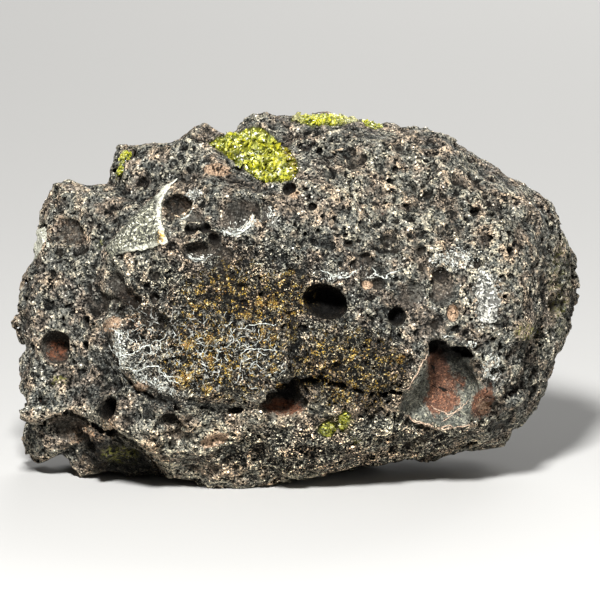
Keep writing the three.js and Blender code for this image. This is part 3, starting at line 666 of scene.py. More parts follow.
def surface_net(values, low, step):
    """Points and quads of the surface where a field on a grid crosses zero."""
    inside = values < 0
    shape = np.array(values.shape) - 1
    corners = list(np.ndindex(2, 2, 2))
    held = np.zeros(shape, np.int8)
    for i, j, k in corners:
        held += inside[i : shape[0] + i, j : shape[1] + j, k : shape[2] + k]
    cells = np.argwhere((held > 0) & (held < 8))
    number = np.full(shape, -1, np.int32)
    number[tuple(cells.T)] = np.arange(len(cells))
    total = np.zeros((len(cells), 3))
    crossings = np.zeros(len(cells))
    for a in corners:
        for axis in range(3):
            if a[axis]:
                continue
            b = tuple(1 if i == axis else c for i, c in enumerate(a))
            start = values[tuple((cells + a).T)]
            end = values[tuple((cells + b).T)]
            crosses = (start < 0) != (end < 0)
            t = np.where(crosses, start / np.where(crosses, start - end, 1), 0)
            place = np.array(a) + t[:, None] * (np.array(b) - np.array(a))
            total += np.where(crosses[:, None], place, 0)
            crossings += crosses
    points = low + (cells + total / crossings[:, None]) * step
    quads = []
    for axis in range(3):
        ends = [slice(1, -1)] * 3
        ends[axis] = slice(0, -1)
        start = inside[tuple(ends)]
        ends[axis] = slice(1, None)
        end = inside[tuple(ends)]
        first, second = [i for i in range(3) if i != axis]
        for leaving in (True, False):
            edges = np.argwhere((start != end) & (start == leaving))
            edges += [0 if i == axis else 1 for i in range(3)]
            around = []
            for back_first, back_second in ((1, 1), (0, 1), (0, 0), (1, 0)):
                cell = edges.copy()
                cell[:, first] -= back_first
                cell[:, second] -= back_second
                around.append(number[tuple(cell.T)])
            forward = leaving != (axis == 1)
            quads.append(np.column_stack(around if forward else around[::-1]))
    return points, np.concatenate(quads)


def largest_piece(points, quads):
    """Only the largest joined part of a mesh: closed bubbles inside the rock go."""
    label = np.arange(len(points))
    edges = np.concatenate([quads[:, [i, (i + 1) % 4]] for i in range(4)])
    while True:
        lowest = np.minimum(label[edges[:, 0]], label[edges[:, 1]])
        before = label.copy()
        np.minimum.at(label, edges[:, 0], lowest)
        np.minimum.at(label, edges[:, 1], lowest)
        label = label[label]
        if np.array_equal(label, before):
            break
    kept = label == np.bincount(label).argmax()
    renumber = np.cumsum(kept) - 1
    return points[kept], renumber[quads[kept[quads[:, 0]]]]


def to_frame(points):
    """From face coordinates in millimetres to the frame, in metres."""
    u, v, w = np.asarray(points, float).T
    lean_sin, lean_cos = math.sin(FACE_LEAN), math.cos(FACE_LEAN)
    x = u + FACE_ORIGIN_X
    y = v * lean_sin - w * lean_cos + FACE_ORIGIN_Y
    z = v * lean_cos + w * lean_sin + BASE_DROP
    return np.column_stack([x, y, z]) / 1000


def to_face(points):
    """From the frame, in metres, to face coordinates in millimetres."""
    x, y, z = np.asarray(points, float).T * 1000
    lean_sin, lean_cos = math.sin(FACE_LEAN), math.cos(FACE_LEAN)
    y, z = y - FACE_ORIGIN_Y, z - BASE_DROP
    return np.column_stack([x - FACE_ORIGIN_X, y * lean_sin + z * lean_cos, z * lean_sin - y * lean_cos])


def mesh_object(name, points, faces, smooth=False):
    """A mesh object from points in face coordinates."""
    mesh = bpy.data.meshes.new(name)
    mesh.vertices.add(len(points))
    mesh.vertices.foreach_set("co", to_frame(points).ravel())
    faces = np.asarray(faces)
    mesh.loops.add(faces.size)
    mesh.loops.foreach_set("vertex_index", faces.ravel())
    mesh.polygons.add(len(faces))
    mesh.polygons.foreach_set("loop_start", np.arange(0, faces.size, faces.shape[1]))
    mesh.update(calc_edges=True)
    mesh.validate()
    mesh.polygons.foreach_set("use_smooth", np.full(len(mesh.polygons), smooth))
    piece = bpy.data.objects.new(name, mesh)
    bpy.context.scene.collection.objects.link(piece)
    return piece


def vertex_points(piece):
    """A mesh's points, in face coordinates."""
    points = np.empty(3 * len(piece.data.vertices))
    piece.data.vertices.foreach_get("co", points)
    return to_face(points.reshape(-1, 3))


def thin_out(piece, faces):
    """Collapse a mesh to a number of triangles, with more of them kept in front."""
    group = piece.vertex_groups.new(name="back")
    w = vertex_points(piece)[:, 2]
    group.add(np.flatnonzero(w < 0).tolist(), BACK_WEIGHT, "REPLACE")
    group.add(np.flatnonzero(w >= 0).tolist(), FRONT_WEIGHT, "REPLACE")
    modifier = piece.modifiers.new("thin", "DECIMATE")
    modifier.use_collapse_triangulate = True
    modifier.ratio = faces / (2 * len(piece.data.polygons))
    modifier.vertex_group = "back"
    modifier.vertex_group_factor = FRONT_KEPT
    evaluated = piece.evaluated_get(bpy.context.evaluated_depsgraph_get())
    piece.data = bpy.data.meshes.new_from_object(evaluated)
    piece.modifiers.clear()
    piece.vertex_groups.clear()


# ---------------------------------------------------------------- shaders


class Paint:
    """A material, with short ways to write its node tree. Lengths are millimetres of the object."""

    def __init__(self, name, **sockets):
        self.material = bpy.data.materials.new(name)
        self.material.use_nodes = True
        self.tree = self.material.node_tree
        self.shader = self.tree.nodes["Principled BSDF"]
        place = self.node("ShaderNodeTexCoord", {}).outputs["Object"]
        self.place = self.vector("MULTIPLY", place, (1000,) * 3)
        for key, value in sockets.items():
            self.shader.inputs[key.replace("_", " ")].default_value = value

    def node(self, kind, inputs, **settings):
        made = self.tree.nodes.new(kind)
        for key, value in settings.items():
            setattr(made, key, value)
        for key, value in inputs.items():
            self.put(made.inputs[key], value)
        return made

    def put(self, socket, value):
        if isinstance(value, bpy.types.NodeSocket):
            self.tree.links.new(value, socket)
        else:
            socket.default_value = (*value, 1) if socket.type == "RGBA" else value

    def math(self, operation, a, b):
        return self.node("ShaderNodeMath", {0: a, 1: b}, operation=operation).outputs[0]

    def add(self, a, b):
        return self.math("ADD", a, b)

    def times(self, a, b):
        return self.math("MULTIPLY", a, b)

    def less(self, a, b):
        return self.math("SUBTRACT", a, b)

    def most(self, a, b):
        return self.math("MAXIMUM", a, b)

    def vector(self, operation, a, b=(0, 0, 0)):
        return self.node("ShaderNodeVectorMath", {0: a, 1: b}, operation=operation).outputs[0]

    def lean(self, colour, strength):
        """A vector that points any way, from a random colour."""
        inputs = {0: self.vector("SUBTRACT", colour, (0.5,) * 3), "Scale": strength}
        return self.node("ShaderNodeVectorMath", inputs, operation="SCALE").outputs[0]

    def step(self, value, low, high, to_low=0.0, to_high=1.0):
        """A soft step from one value to another between low and high."""
        inputs = {"Value": value, "From Min": low, "From Max": high, "To Min": to_low, "To Max": to_high}
        return self.node("ShaderNodeMapRange", inputs, interpolation_type="SMOOTHSTEP").outputs[0]

    def mix(self, share, a, b, blend="MIX"):
        inputs = {0: share, 6: a, 7: b}
        return self.node("ShaderNodeMix", inputs, data_type="RGBA", blend_type=blend).outputs[2]

    def tinted(self, share, colour, tint):
        return self.mix(share, colour, tint, "MULTIPLY")

    def noise_node(self, apart, detail=2.0, rough=0.55, shift=0.0):
        """Noise whose largest waves are this far apart."""
        place = self.vector("ADD", self.place, (shift,) * 3)
        inputs = {"Vector": place, "Scale": 1 / apart, "Detail": detail, "Roughness": rough}
        return self.node("ShaderNodeTexNoise", inputs)

    def noise(self, *settings):
        return self.noise_node(*settings).outputs[0]

    def patches(self, noise, low, high, to_low=0.0, to_high=1.0):
        """Soft-edged patches from noise, whose settings are those of noise_node."""
        return self.step(self.noise(*noise), low, high, to_low, to_high)

    def cells(self, apart, warp_apart, warp, shift=0.0, feature="F1"):
        """Cells whose walls are pushed about by noise."""
        push = self.lean(self.noise_node(warp_apart, 1.0, shift=shift).outputs[1], warp)
        inputs = {"Vector": self.vector("ADD", self.place, push), "Scale": 1 / apart}
        return self.node("ShaderNodeTexVoronoi", inputs, feature=feature).outputs

    def pick(self, cells):
        """A random value of each cell."""
        return self.node("ShaderNodeSeparateColor", {0: cells["Color"]}).outputs[0]

    def palette(self, value, stops, smooth=False):
        """A colour from a value, by stops of (value, colour)."""
        ramp = self.node("ShaderNodeValToRGB", {0: value})
        ramp.color_ramp.interpolation = "LINEAR" if smooth else "CONSTANT"
        elements = ramp.color_ramp.elements
        while len(elements) < len(stops):
            elements.new(0.5)
        for element, (at, colour) in zip(elements, stops):
            element.position = at
            element.color = (*colour, 1)
        return ramp.outputs[0]

    def painted(self, name):
        """A value painted on the mesh's points."""
        return self.node("ShaderNodeAttribute", {}, attribute_name=name).outputs["Fac"]

    def ragged(self, name, strength, *noise):
        """A painted value, broken up by noise."""
        return self.add(self.painted(name), self.times(self.less(self.noise(*noise), 0.5), strength))

    def tilt_facets(self, colour, strength):
        """A normal that leans differently in each cell, from the cells' random colours."""
        normal = self.node("ShaderNodeNewGeometry", {}).outputs["Normal"]
        return self.vector("NORMALIZE", self.vector("ADD", normal, self.lean(colour, strength)))

    def bump(self, height, depth, normal=None):
        """A bump whose height from 0 to 1 is this deep, in millimetres."""
        inputs = {"Distance": depth / 1000, "Height": height}
        if normal is not None:
            inputs["Normal"] = normal
        return self.node("ShaderNodeBump", inputs).outputs[0]

    def finish(self, colour, roughness, normal):
        for name, value in (("Base Color", colour), ("Roughness", roughness), ("Normal", normal)):
            self.put(self.shader.inputs[name], value)
        return self.material


def basalt_material():
    p = Paint("basalt", Specular_IOR_Level=0.12)
    grain = p.cells(0.46, 0.9, 0.5, 60)
    grain_pick = p.pick(grain)
    fine_pick = p.pick(p.cells(0.25, 0.5, 0.5, 7))
    cool = [
        (0.0, (0.007, 0.008, 0.0075)), (0.16, (0.066, 0.072, 0.068)), (0.46, (0.145, 0.148, 0.132)),
        (0.72, (0.225, 0.222, 0.193)), (0.90, (0.33, 0.325, 0.28)), (0.975, (0.60, 0.59, 0.53)),
    ]
    warm = [
        (0.0, (0.008, 0.007, 0.006)), (0.16, (0.080, 0.071, 0.060)), (0.46, (0.172, 0.147, 0.120)),
        (0.72, (0.275, 0.228, 0.182)), (0.90, (0.38, 0.33, 0.27)), (0.975, (0.62, 0.57, 0.49)),
    ]
    warm_share = p.patches((6, 3.0, 0.6, 31), 0.44, 0.60)
    colour = p.mix(warm_share, p.palette(grain_pick, cool), p.palette(grain_pick, warm))
    specks = [
        (0.0, (0.04, 0.04, 0.04)), (0.20, (0.55, 0.55, 0.55)), (0.50, (1.05, 1.04, 1.02)),
        (0.85, (1.75, 1.70, 1.62)),
    ]
    crisp = p.painted("crisp")
    colour = p.tinted(p.step(crisp, 0.0, 1.0, 0.62, 1.0), colour, p.palette(fine_pick, specks))
    crisp_specks = [(0.0, (0.012,) * 3), (0.40, (0.85,) * 3), (0.80, (1.9,) * 3), (0.93, (3.2, 3.2, 3.1))]
    crisp_pick = p.pick(p.cells(0.36, 0.6, 0.8, 9))
    colour = p.tinted(crisp, colour, p.palette(crisp_pick, crisp_specks))
    # painted highlight and painted shade over a larger reach: rises lightened and hollows darkened, less so
    # where the dust and painted light lie
    rise = p.step(p.ragged("rise", 2.0, 2.4, 3.0, 0.6), -1.6, 1.6)
    bend_light_and_shade = p.mix(rise, (0.46, 0.46, 0.46), (1.48, 1.45, 1.41))
    colour = p.tinted(p.step(p.painted("dust_and_painted_light"), 0.0, 1.0, 1.0, 0.6), colour, bend_light_and_shade)
    dark = p.patches((3.6, 4.0, 0.65, 2), 0.48, 0.66, 0.0, 0.5)
    colour = p.mix(dark, colour, (0.022, 0.024, 0.022))
    # lightens where the dust and painted light lie: a paler dusty skin, and painted light on the lower band,
    # which the lamps light less
    colour = p.tinted(p.painted("dust_and_painted_light"), colour, (2.1, 2.0, 1.84))
    # painted highlight and painted shade: the colour is lightened on convex edges and darkened in hollows, by
    # how the surface bends
    edge = p.painted("edge")
    colour = p.tinted(p.step(edge, 0.4, 2.0), colour, (1.7, 1.6, 1.45))
    colour = p.tinted(p.step(edge, -1.8, -0.1, 1.0, 0.0), colour, (0.10, 0.095, 0.085))

    # hollows: their walls get a darker lining colour that is also painted shade, and deeper ones are darkened
    # further as painted shade
    pit = p.painted("pit")
    wall = p.step(pit, 1.2, 2.8)
    lining_and_shade = p.mix(p.noise(1.5, 3.0), (0.018, 0.016, 0.013), (0.095, 0.078, 0.060))
    colour = p.mix(p.times(wall, 0.42), colour, lining_and_shade)
    colour = p.tinted(p.step(pit, 3.5, 9.0), colour, (0.40, 0.38, 0.35))

    bowl = p.painted("bowl")
    sand = p.palette(
        p.pick(p.cells(0.3, 0.7, 0.5, 33)),
        [(0.0, (0.35,) * 3), (0.3, (0.8,) * 3), (0.6, (1.15,) * 3), (0.9, (2.2, 2.1, 1.9))],
    )
    slate = p.mix(p.patches((1.8, 4.0, 0.7, 34), 0.35, 0.65), (0.052, 0.056, 0.048), (0.17, 0.17, 0.14))
    colour = p.mix(bowl, colour, p.tinted(1.0, slate, sand))
    rust = p.mix(p.patches((1.0, 5.0, 0.75, 11), 0.3, 0.7), (0.060, 0.027, 0.017), (0.195, 0.085, 0.048))
    rust = p.mix(p.times(bowl, 0.8), rust, p.tinted(1.0, rust, sand))
    colour = p.mix(p.step(p.ragged("rust", 2.4, 1.6, 5.0, 0.75, 5), 0.22, 0.85, 0.0, 0.9), colour, rust)
    # painted shade, from the dark ellipses
    colour = p.tinted(p.painted("dark"), colour, (0.08, 0.08, 0.08))
    brown = p.times(p.painted("brown"), p.patches((0.9, 5.0, 0.75, 9), 0.42, 0.58))
    colour = p.tinted(brown, colour, (1.25, 0.98, 0.80))
    tan = p.mix(p.patches((0.4, 4.0, 0.75, 17), 0.36, 0.64), (0.19, 0.12, 0.075), (0.72, 0.50, 0.33))
    colour = p.mix(p.step(p.ragged("tan", 1.4, 1.0, 4.0, 0.7, 19), 0.35, 0.65, 0.0, 0.9), colour, tan)

    gold = [
        (0.0, (0.008, 0.008, 0.006)), (0.45, (0.06, 0.048, 0.028)), (0.60, (0.26, 0.15, 0.035)),
        (0.76, (0.66, 0.43, 0.07)), (0.92, (0.95, 0.82, 0.48)),
    ]
    bronze = p.painted("bronze")
    colour = p.tinted(p.times(bronze, 0.9), colour, (0.56, 0.50, 0.41))
    gaps = p.times(bronze, p.patches((0.9, 4.0, 0.75, 24), 0.51, 0.56, 0.0, 0.97))
    colour = p.mix(gaps, colour, (0.005, 0.005, 0.004))
    clumps = p.times(bronze, p.patches((1.8, 3.0, 0.65, 23), 0.54, 0.60, 0.0, 0.9))
    colour = p.mix(p.most(clumps, p.painted("gold")), colour, p.palette(fine_pick, gold))

    walls = p.cells(2.6, 1.4, 2.4, 50, "DISTANCE_TO_EDGE")["Distance"]
    threads = p.times(p.step(walls, 0.01, 0.05, 0.6, 0.0), p.patches((2.5, 2.0, 0.55, 27), 0.46, 0.56))
    web = p.times(threads, p.painted("web"))
    flecks = p.add(p.pick(p.cells(0.4, 0.8, 0.5, 42)), p.times(p.painted("white"), 0.55))
    crust = p.times(p.step(flecks, 1.02, 1.08), p.patches((1.6, 3.0, 0.7, 41), 0.47, 0.54))
    white = p.mix(p.noise(0.5, 3.0), (0.30, 0.30, 0.26), (0.88, 0.87, 0.78))
    colour = p.mix(p.most(web, crust), colour, white)
    olive = p.times(p.painted("olive"), p.patches((0.9, 3.0, 0.55, 3), 0.45, 0.6, 0.0, 0.6))
    colour = p.mix(olive, colour, (0.26, 0.25, 0.06))

    # painted shadow: black crevices and pores, also dented by the bump, stand in for the shade inside them
    walls = p.cells(3.0, 1.3, 2.2, 80, "DISTANCE_TO_EDGE")["Distance"]
    crevice = p.times(p.step(walls, 0.012, 0.04, 1.0, 0.0), p.patches((3.0, 2.0, 0.55, 81), 0.50, 0.56))
    crevice = p.times(crevice, p.less(1.0, bowl))
    colour = p.mix(p.times(crevice, 0.9), colour, (0.006, 0.006, 0.005))
    holes = p.cells(1.1, 2, 0.9, 2)
    hole_size = p.step(p.pick(holes), 0.1, 1.0, 0.05, 0.36)
    hole = p.step(p.less(holes["Distance"], hole_size), -0.06, 0.03, 1.0, 0.0)
    hole = p.times(hole, p.less(1.0, wall))
    colour = p.mix(p.times(hole, 0.93), colour, (0.005, 0.005, 0.004))

    green = p.mix(p.noise(0.8, 3.0, 0.7), (0.05, 0.055, 0.006), (0.26, 0.27, 0.03))
    colour = p.mix(p.painted("pocket"), colour, green)

    height = p.add(p.times(p.noise(0.7, 3.0, 0.7), 0.9), p.times(grain["Distance"], 0.35))
    height = p.add(height, p.times(p.most(hole, crevice), -0.9))
    coarse = p.bump(height, 0.7, p.tilt_facets(grain["Color"], 1.4))
    fine = p.bump(p.noise(0.25, 1.0, 0.55, 19), 0.14, coarse)
    calm = p.bump(p.noise(0.6, 4.0, 0.7), 0.22)
    normal = p.mix(p.most(p.times(wall, 0.35), p.times(bowl, 0.9)), fine, calm)
    return p.finish(colour, p.step(grain_pick, 0.5, 1.0, 0.8, 0.35), normal)


def grit_material():
    p = Paint("basalt_grit", Specular_IOR_Level=0.35)
    stops = [
        (0.0, (0.012, 0.013, 0.012)), (0.30, (0.05, 0.056, 0.054)), (0.48, (0.14, 0.13, 0.11)),
        (0.64, (0.24, 0.205, 0.165)), (0.80, (0.33, 0.315, 0.27)), (0.91, (0.44, 0.375, 0.30)),
        (0.96, (0.66, 0.64, 0.57)),
    ]
    colour = p.palette(p.painted("tint"), stops)
    colour = p.mix(p.noise(0.4, 3.0), colour, p.mix(0.5, colour, (0.02, 0.02, 0.018)))
    return p.finish(colour, p.patches((0.5, 2.0), 0.3, 0.7, 0.35, 0.75), p.bump(p.noise(0.25, 3.0), 0.05))


def bronze_material():
    p = Paint("bronze_mica", Metallic=0.35)
    stops = [
        (0.0, (0.10, 0.045, 0.012)), (0.3, (0.30, 0.15, 0.03)), (0.6, (0.50, 0.30, 0.07)),
        (0.85, (0.72, 0.56, 0.25)),
    ]
    colour = p.palette(p.painted("tint"), stops, smooth=True)
    colour = p.mix(p.times(p.noise(0.4, 3.0), 0.6), colour, (0.05, 0.03, 0.012))
    return p.finish(colour, p.patches((0.3, 2.0), 0.3, 0.7, 0.25, 0.5), p.bump(p.noise(0.3, 2.0), 0.03))


def peridot_material():
    p = Paint("peridot", IOR=1.67, Transmission_Weight=0.35)
    greens = [
        (0.0, (0.36, 0.35, 0.014)), (0.35, (0.58, 0.56, 0.022)), (0.7, (0.76, 0.735, 0.065)),
        (0.93, (0.90, 0.90, 0.33)),
    ]
    colour = p.palette(p.painted("tint"), greens, smooth=True)
    glass = p.cells(0.56, 1.0, 0.4)
    # painted highlight and painted shade: each crystal cell is darkened or lightened, the brightest into
    # blue-white glints, as if its faces caught the light
    facet_light_and_shade = [
        (0.0, (0.22, 0.27, 0.25)), (0.25, (0.72, 0.76, 0.6)), (0.50, (1.0, 1.0, 1.0)),
        (0.74, (1.30, 1.26, 1.4)), (0.91, (1.7, 1.68, 6.0)),
    ]
    milky = p.patches((4.0, 3.0, 0.6, 14), 0.44, 0.62, 0.0, 0.35)
    colour = p.mix(milky, colour, (0.48, 0.52, 0.21))
    colour = p.tinted(1.0, colour, p.palette(p.pick(glass), facet_light_and_shade))
    dark = p.patches((0.7, 4.0, 0.75, 12), 0.54, 0.66, 0.0, 0.75)
    colour = p.mix(dark, colour, (0.07, 0.080, 0.012))
    colour = p.mix(p.times(p.painted("pale"), 0.75), colour, (0.52, 0.49, 0.34))
    stained = p.times(p.painted("brown"), p.patches((1.1, 3.0, 0.55, 8), 0.3, 0.6))
    colour = p.mix(stained, colour, (0.16, 0.085, 0.012))
    normal = p.bump(p.noise(0.4, 2.0, 0.55, 4), 0.06, p.tilt_facets(glass["Color"], 0.9))
    return p.finish(colour, p.patches((0.6, 3.0, 0.55, 6), 0.35, 0.7, 0.10, 0.4), normal)


def pale_material():
    p = Paint("pale_stone")
    grain = p.cells(0.42, 1.0, 0.6)
    stops = [
        (0.0, (0.008, 0.008, 0.006)), (0.30, (0.08, 0.08, 0.058)), (0.48, (0.22, 0.215, 0.152)),
        (0.70, (0.38, 0.37, 0.270)), (0.88, (0.76, 0.75, 0.62)),
    ]
    streak = p.patches((0.8, 5.0, 0.8, 15), 0.50, 0.54, 0.0, 0.85)
    colour = p.mix(streak, p.palette(p.pick(grain), stops), (0.045, 0.046, 0.034))
    # the pale nodule's bright rim along its right and lower edge; on the edge nodule this is painted light
    rim = p.times(p.painted("rim"), p.patches((0.6, 3.0, 0.7, 16), 0.36, 0.52))
    colour = p.mix(rim, colour, p.mix(p.noise(0.8), (0.55, 0.55, 0.42), (0.86, 0.85, 0.74)))
    stained = p.times(p.painted("ellipse_paint"), p.patches((0.6, 3.0), 0.40, 0.56))
    colour = p.tinted(stained, colour, (0.95, 0.55, 0.10))
    height = p.add(p.noise(0.6, 4.0, 0.7), p.times(grain["Distance"], 0.5))
    return p.finish(colour, 0.8, p.bump(height, 0.28))


def white_material():
    p = Paint("white_mineral")
    grain = p.cells(0.45, 1.5, 0.8)
    stops = [
        (0.0, (0.03, 0.03, 0.025)), (0.30, (0.16, 0.155, 0.13)), (0.55, (0.42, 0.41, 0.36)),
        (0.80, (0.74, 0.73, 0.66)),
    ]
    mottled = p.most(p.patches((1.2, 4.0, 0.7), 0.45, 0.51), p.painted("solid"))
    colour = p.mix(mottled, (0.10, 0.097, 0.085), p.palette(p.pick(grain), stops))
    height = p.add(p.noise(0.5, 4.0, 0.7), p.times(grain["Distance"], 0.5))
    return p.finish(colour, 0.6, p.bump(height, 0.4))


def thread_material(name, dark, light):
    p = Paint(name, Specular_IOR_Level=0.1)
    colour = p.mix(p.patches((0.6, 3.0), 0.35, 0.65), dark, light)
    return p.finish(colour, 0.85, p.bump(p.noise(0.3, 2.0), 0.06))


# ---------------------------------------------------------------- the rock

STAINS_LIGHT_AND_SHADE = {  # painted on the front, as stains and as painted light and shade: ellipses as u, v and half widths, then turn in degrees and strength
    "rust": [
        (35.4, -24.4, 4.6, 3.8), (34.2, -17, 2.9, 5.4, 4), (38.4, -20.2, 3.4, 1.8, 10, 0.8),
        (45.4, -25.6, 2.6, 4.2, -22), (-60.7, -12.7, 3.0, 2.6, 0, 0.62), (-3.8, -26.6, 5, 2.2, 0, 0.75),
    ],
    "tan": [
        (-46.7, -6, 2.4, 1.7, 30), (-39.2, -21.5, 2, 1.2), (-20.6, 32.4, 3.6, 1.5, -4),
        (16.6, 3.8, 1.4, 1.2), (37.8, -3.2, 1.4, 2.2), (-21.2, -34.8, 3.8, 1.5, 20),
        (-1.4, 26, 1.3, 0.7, 35), (45.6, -26.2, 2.2, 2.6, 0, 0.5),
    ],
    "brown": [
        (-54, -33.5, 4, 3), (-40.5, -1, 4.5, 2.6, -30), (-3.8, -26.6, 5, 2), (-58, 17, 5.5, 4, 5, 0.6),
        (-38.5, -6, 6.5, 3, -40), (-48, -30, 1.6, 3), (-60.7, -12.5, 2.6, 2), (-30.3, 23.3, 3.5, 3),
    ],
    "white": [
        (46.5, 1, 3.6, 7.5, 0, 0.7), (38, 10, 6, 3.0, 10, 0.8), (47.5, -16.5, 2.4, 3.5),
        (42.5, -11, 1.2, 0.8), (-44.6, -12, 1.5, 6, 5), (-36, -20.5, 6, 1.2, -25),
        (-14.6, 17.8, 4.6, 1.7, 18), (-24.6, 10.8, 3.8, 0.8, 0, 0.75), (-6.8, 21, 1.0, 2.4, 20),
        (10, 6.3, 4.8, 0.7, 10), (20, 6.0, 4, 0.7), (-27, 26, 3, 1.2, 20),
    ],
    "crisp": [
        (-16, -6, 32, 22, 10), (12, -16, 18, 12, -10), (10, -36, 34, 8, 5),
    ],
    "gold": [
        (-27.5, -11, 1.5, 1.5), (-22.5, -9.5, 1.2, 1.3), (-22.2, -14.8, 0.8, 1.6), (-13, -3.8, 1, 0.8),
        (-9.8, -0.8, 1.2, 0.9), (-6.8, -1, 1.2, 1.1), (-9.2, -7.8, 0.7, 1), (-6.5, -9.2, 0.7, 0.8),
        (-6.5, -17.2, 0.8, 0.9), (-5, -21.2, 0.8, 0.6), (-23, -21.8, 1.2, 0.8), (-28.8, -19.8, 1.6, 1.8),
        (24.8, -14.5, 1, 1),
    ],
    "web": [
        (-31, -12, 19, 11, -15), (-15, -14, 12, 9),
    ],
    # dust and painted light: a paler dusty skin, and on the lower band a lightening that makes up for the
    # lamps lighting it less
    "dust_and_painted_light": [
        (32, 22, 28, 16, -25, 0.35), (-38, 7, 11, 4, -10, 0.5), (-2, -36.5, 48, 9, 3),
    ],
    # painted shade: darkness painted into deep holes, clefts and vesicles, the top of the bowl under its
    # overhang and the undercut at the lower left
    "dark": [
        (-44, -41, 13, 6, -25), (-2.8, -22, 3.2, 2.8), (34.6, -12, 3.2, 2.3, -10),
        (40.2, -13.2, 2.4, 1.7, -20), (37.4, -13.4, 4.0, 1.6, -5), (40.2, -16.2, 3.8, 4.2, -20, 0.85),
        (36, -15, 5.0, 4.4, 0, 0.6), (41, -19.4, 2.8, 3.4, 0, 0.45), (35, 5.8, 2.3, 1.8, 0, 0.6),
        (-26.9, 17.8, 1.6, 1.3, 0, 0.75), (-23.6, 18.1, 1.5, 1.3, 0, 0.75),
        (-21.3, 15.2, 1.4, 1.9, 15, 0.75), (-25.4, 13.2, 3.4, 1.2, 0, 0.55),
        (-30.6, 24, 3.0, 2.2, -20, 0.5), (-16, 23.2, 4.0, 2.6, 0, 0.45), (-1.5, -12, 1.3, 8.5, 0, 0.5),
        (6.3, -0.8, 5.6, 4.0, -22, 0.9), (-48, -26.6, 2.9, 3.2), (-42, -1.2, 5.0, 1.9, -40, 0.75),
        (-2.6, 27.8, 1.5, 1.5), (24, -4, 2.4, 2.4), (-37, -5.5, 6.0, 1.7, -42, 0.7),
        (-41, -9, 2.4, 1.5, 0, 0.7), (3, -20, 4, 1.5),
    ],
    "bronze": [
        (-17, -7, 16, 14, 35), (12, -17, 13, 9, -10), (-4, 0.5, 7, 6, 30), (-22, -18, 13, 6, -10),
    ],
    "olive": [
        (-45, -38.5, 4, 2), (66, 3, 4, 12, 0, 0.4), (56, -8, 3, 2), (10.5, -30.5, 3, 2),
        (-49.6, 14, 0.8, 0.8), (14, -35, 1.2, 0.8), (-60, -20, 2, 1.2),
    ],
}
ELLIPSE_EDGE = 0.35  # how soft a painted ellipse's edge is, as a share of its half width
ELLIPSE_FADE = (-6, 1)  # from and to which w the painted ellipses come up


def ellipse_share(u, v, at_u, at_v, half_u, half_v, turn=0, strength=1):
    """How far each place lies in a soft ellipse on the front, from 0 to its strength."""
    c, s = math.cos(math.radians(turn)), math.sin(math.radians(turn))
    along, across = (u - at_u) * c + (v - at_v) * s, (v - at_v) * c - (u - at_u) * s
    out = np.hypot(along / half_u, across / half_v)
    return strength * (1 - smoothstep(out, 1 - ELLIPSE_EDGE, 1 + ELLIPSE_EDGE))


def ellipse_paint(points, ellipses):
    """How much of a painted ellipse each point has, from 0 to 1. Only the front is painted."""
    u, v, w = points.T
    most = np.max([ellipse_share(u, v, *ellipse) for ellipse in ellipses], axis=0)
    return most * smoothstep(w, *ELLIPSE_FADE)


def dress(piece, material, node=None):
    """Give a piece its material, body and slot, and hide the CAD part of the node that it stands for."""
    piece.data.materials.append(material)
    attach(piece, "root")
    if node:
        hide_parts(node)


def paint(piece, name, values):
    layer = piece.data.attributes.new(name, "FLOAT", "POINT")
    layer.data.foreach_set("value", np.asarray(values, np.float32))


def seen_axes(points, seen_from):
    """Points' places across, up and out of an outline that is seen from the front, the top or the left."""
    return [sign * points[i] for i, sign in SEEN_FROM[seen_from]]


def pocket_share(field, points):
    """How far each point lies on the floor of a peridot pocket, from 0 to 1."""
    deep = -field.sample(points, field.block)
    most = np.zeros(len(points))
    for _, shapes, depth, _ in PERIDOTS:
        for seen_from, outline in shapes:
            if seen_from != "left":
                across, up, out = seen_axes(points.T, seen_from)
                inside = smoothstep(-outline_distance(across, up, outline), *POCKET_FADE) * (out > 0)
                most = np.maximum(most, inside * (deep > POCKET_TOP) * (deep < depth + POCKET_BELOW))
    return most


def build_rock():
    random = np.random.default_rng(5)
    field = Field(GRID, VOXEL)
    cut_spread_bubbles(field, random, ROUGH_HOLLOWS, ROUGH_DEEPNESS)
    field.roughen()
    for outline, deep, slope in BOWL_CUTS:
        field.cut_bowl(outline, deep, slope)
    for spec in FRONT_BUBBLES + MORE_BUBBLES:
        field.cut_front_bubble(*spec)
    for spec in CLEFTS:
        field.cut_cleft(*spec, random)
    cut_spread_bubbles(field, random, SPREAD_BUBBLES, BUBBLE_DEEPNESS)
    for _, shapes, depth, _ in PERIDOTS:
        for seen_from, outline in shapes:
            across, up, out = seen_axes(field.axes, seen_from)
            pocket = np.maximum(outline_distance(across, up, outline), -(field.block + depth))
            field.cut(-np.maximum(pocket, -out), POCKET_EDGE)
    u, v, w = field.axes
    field.values = np.maximum(field.values, -above_base(v, w))
    points, quads = largest_piece(*surface_net(field.values, field.low, field.step))
    rock = mesh_object("basalt_rock", points, quads, smooth=True)
    if len(quads) * 2 > ROCK_FACES:
        thin_out(rock, ROCK_FACES)
    points = vertex_points(rock)
    # how deep each point lies and how the surface bends: the basalt's painted shade in hollows and painted
    # highlight on edges and rises come from these
    paint(rock, "pit", -field.sample(points, field.block))
    paint(rock, "edge", field.convexity(points))
    paint(rock, "rise", field.convexity(points, RISE_REACH))
    paint(rock, "pocket", pocket_share(field, points))
    to_edge = [outline_distance(points[:, 0], points[:, 1], outline) for outline, *_ in BOWL_CUTS]
    in_bowl = smoothstep(-np.minimum(*to_edge), *BOWL_FADE)
    paint(rock, "bowl", in_bowl * (points[:, 2] > 0))
    for name, shapes in STAINS_LIGHT_AND_SHADE.items():
        paint(rock, name, ellipse_paint(points, shapes))
    dress(rock, basalt_material(), "basalt_host")
    return field, rock


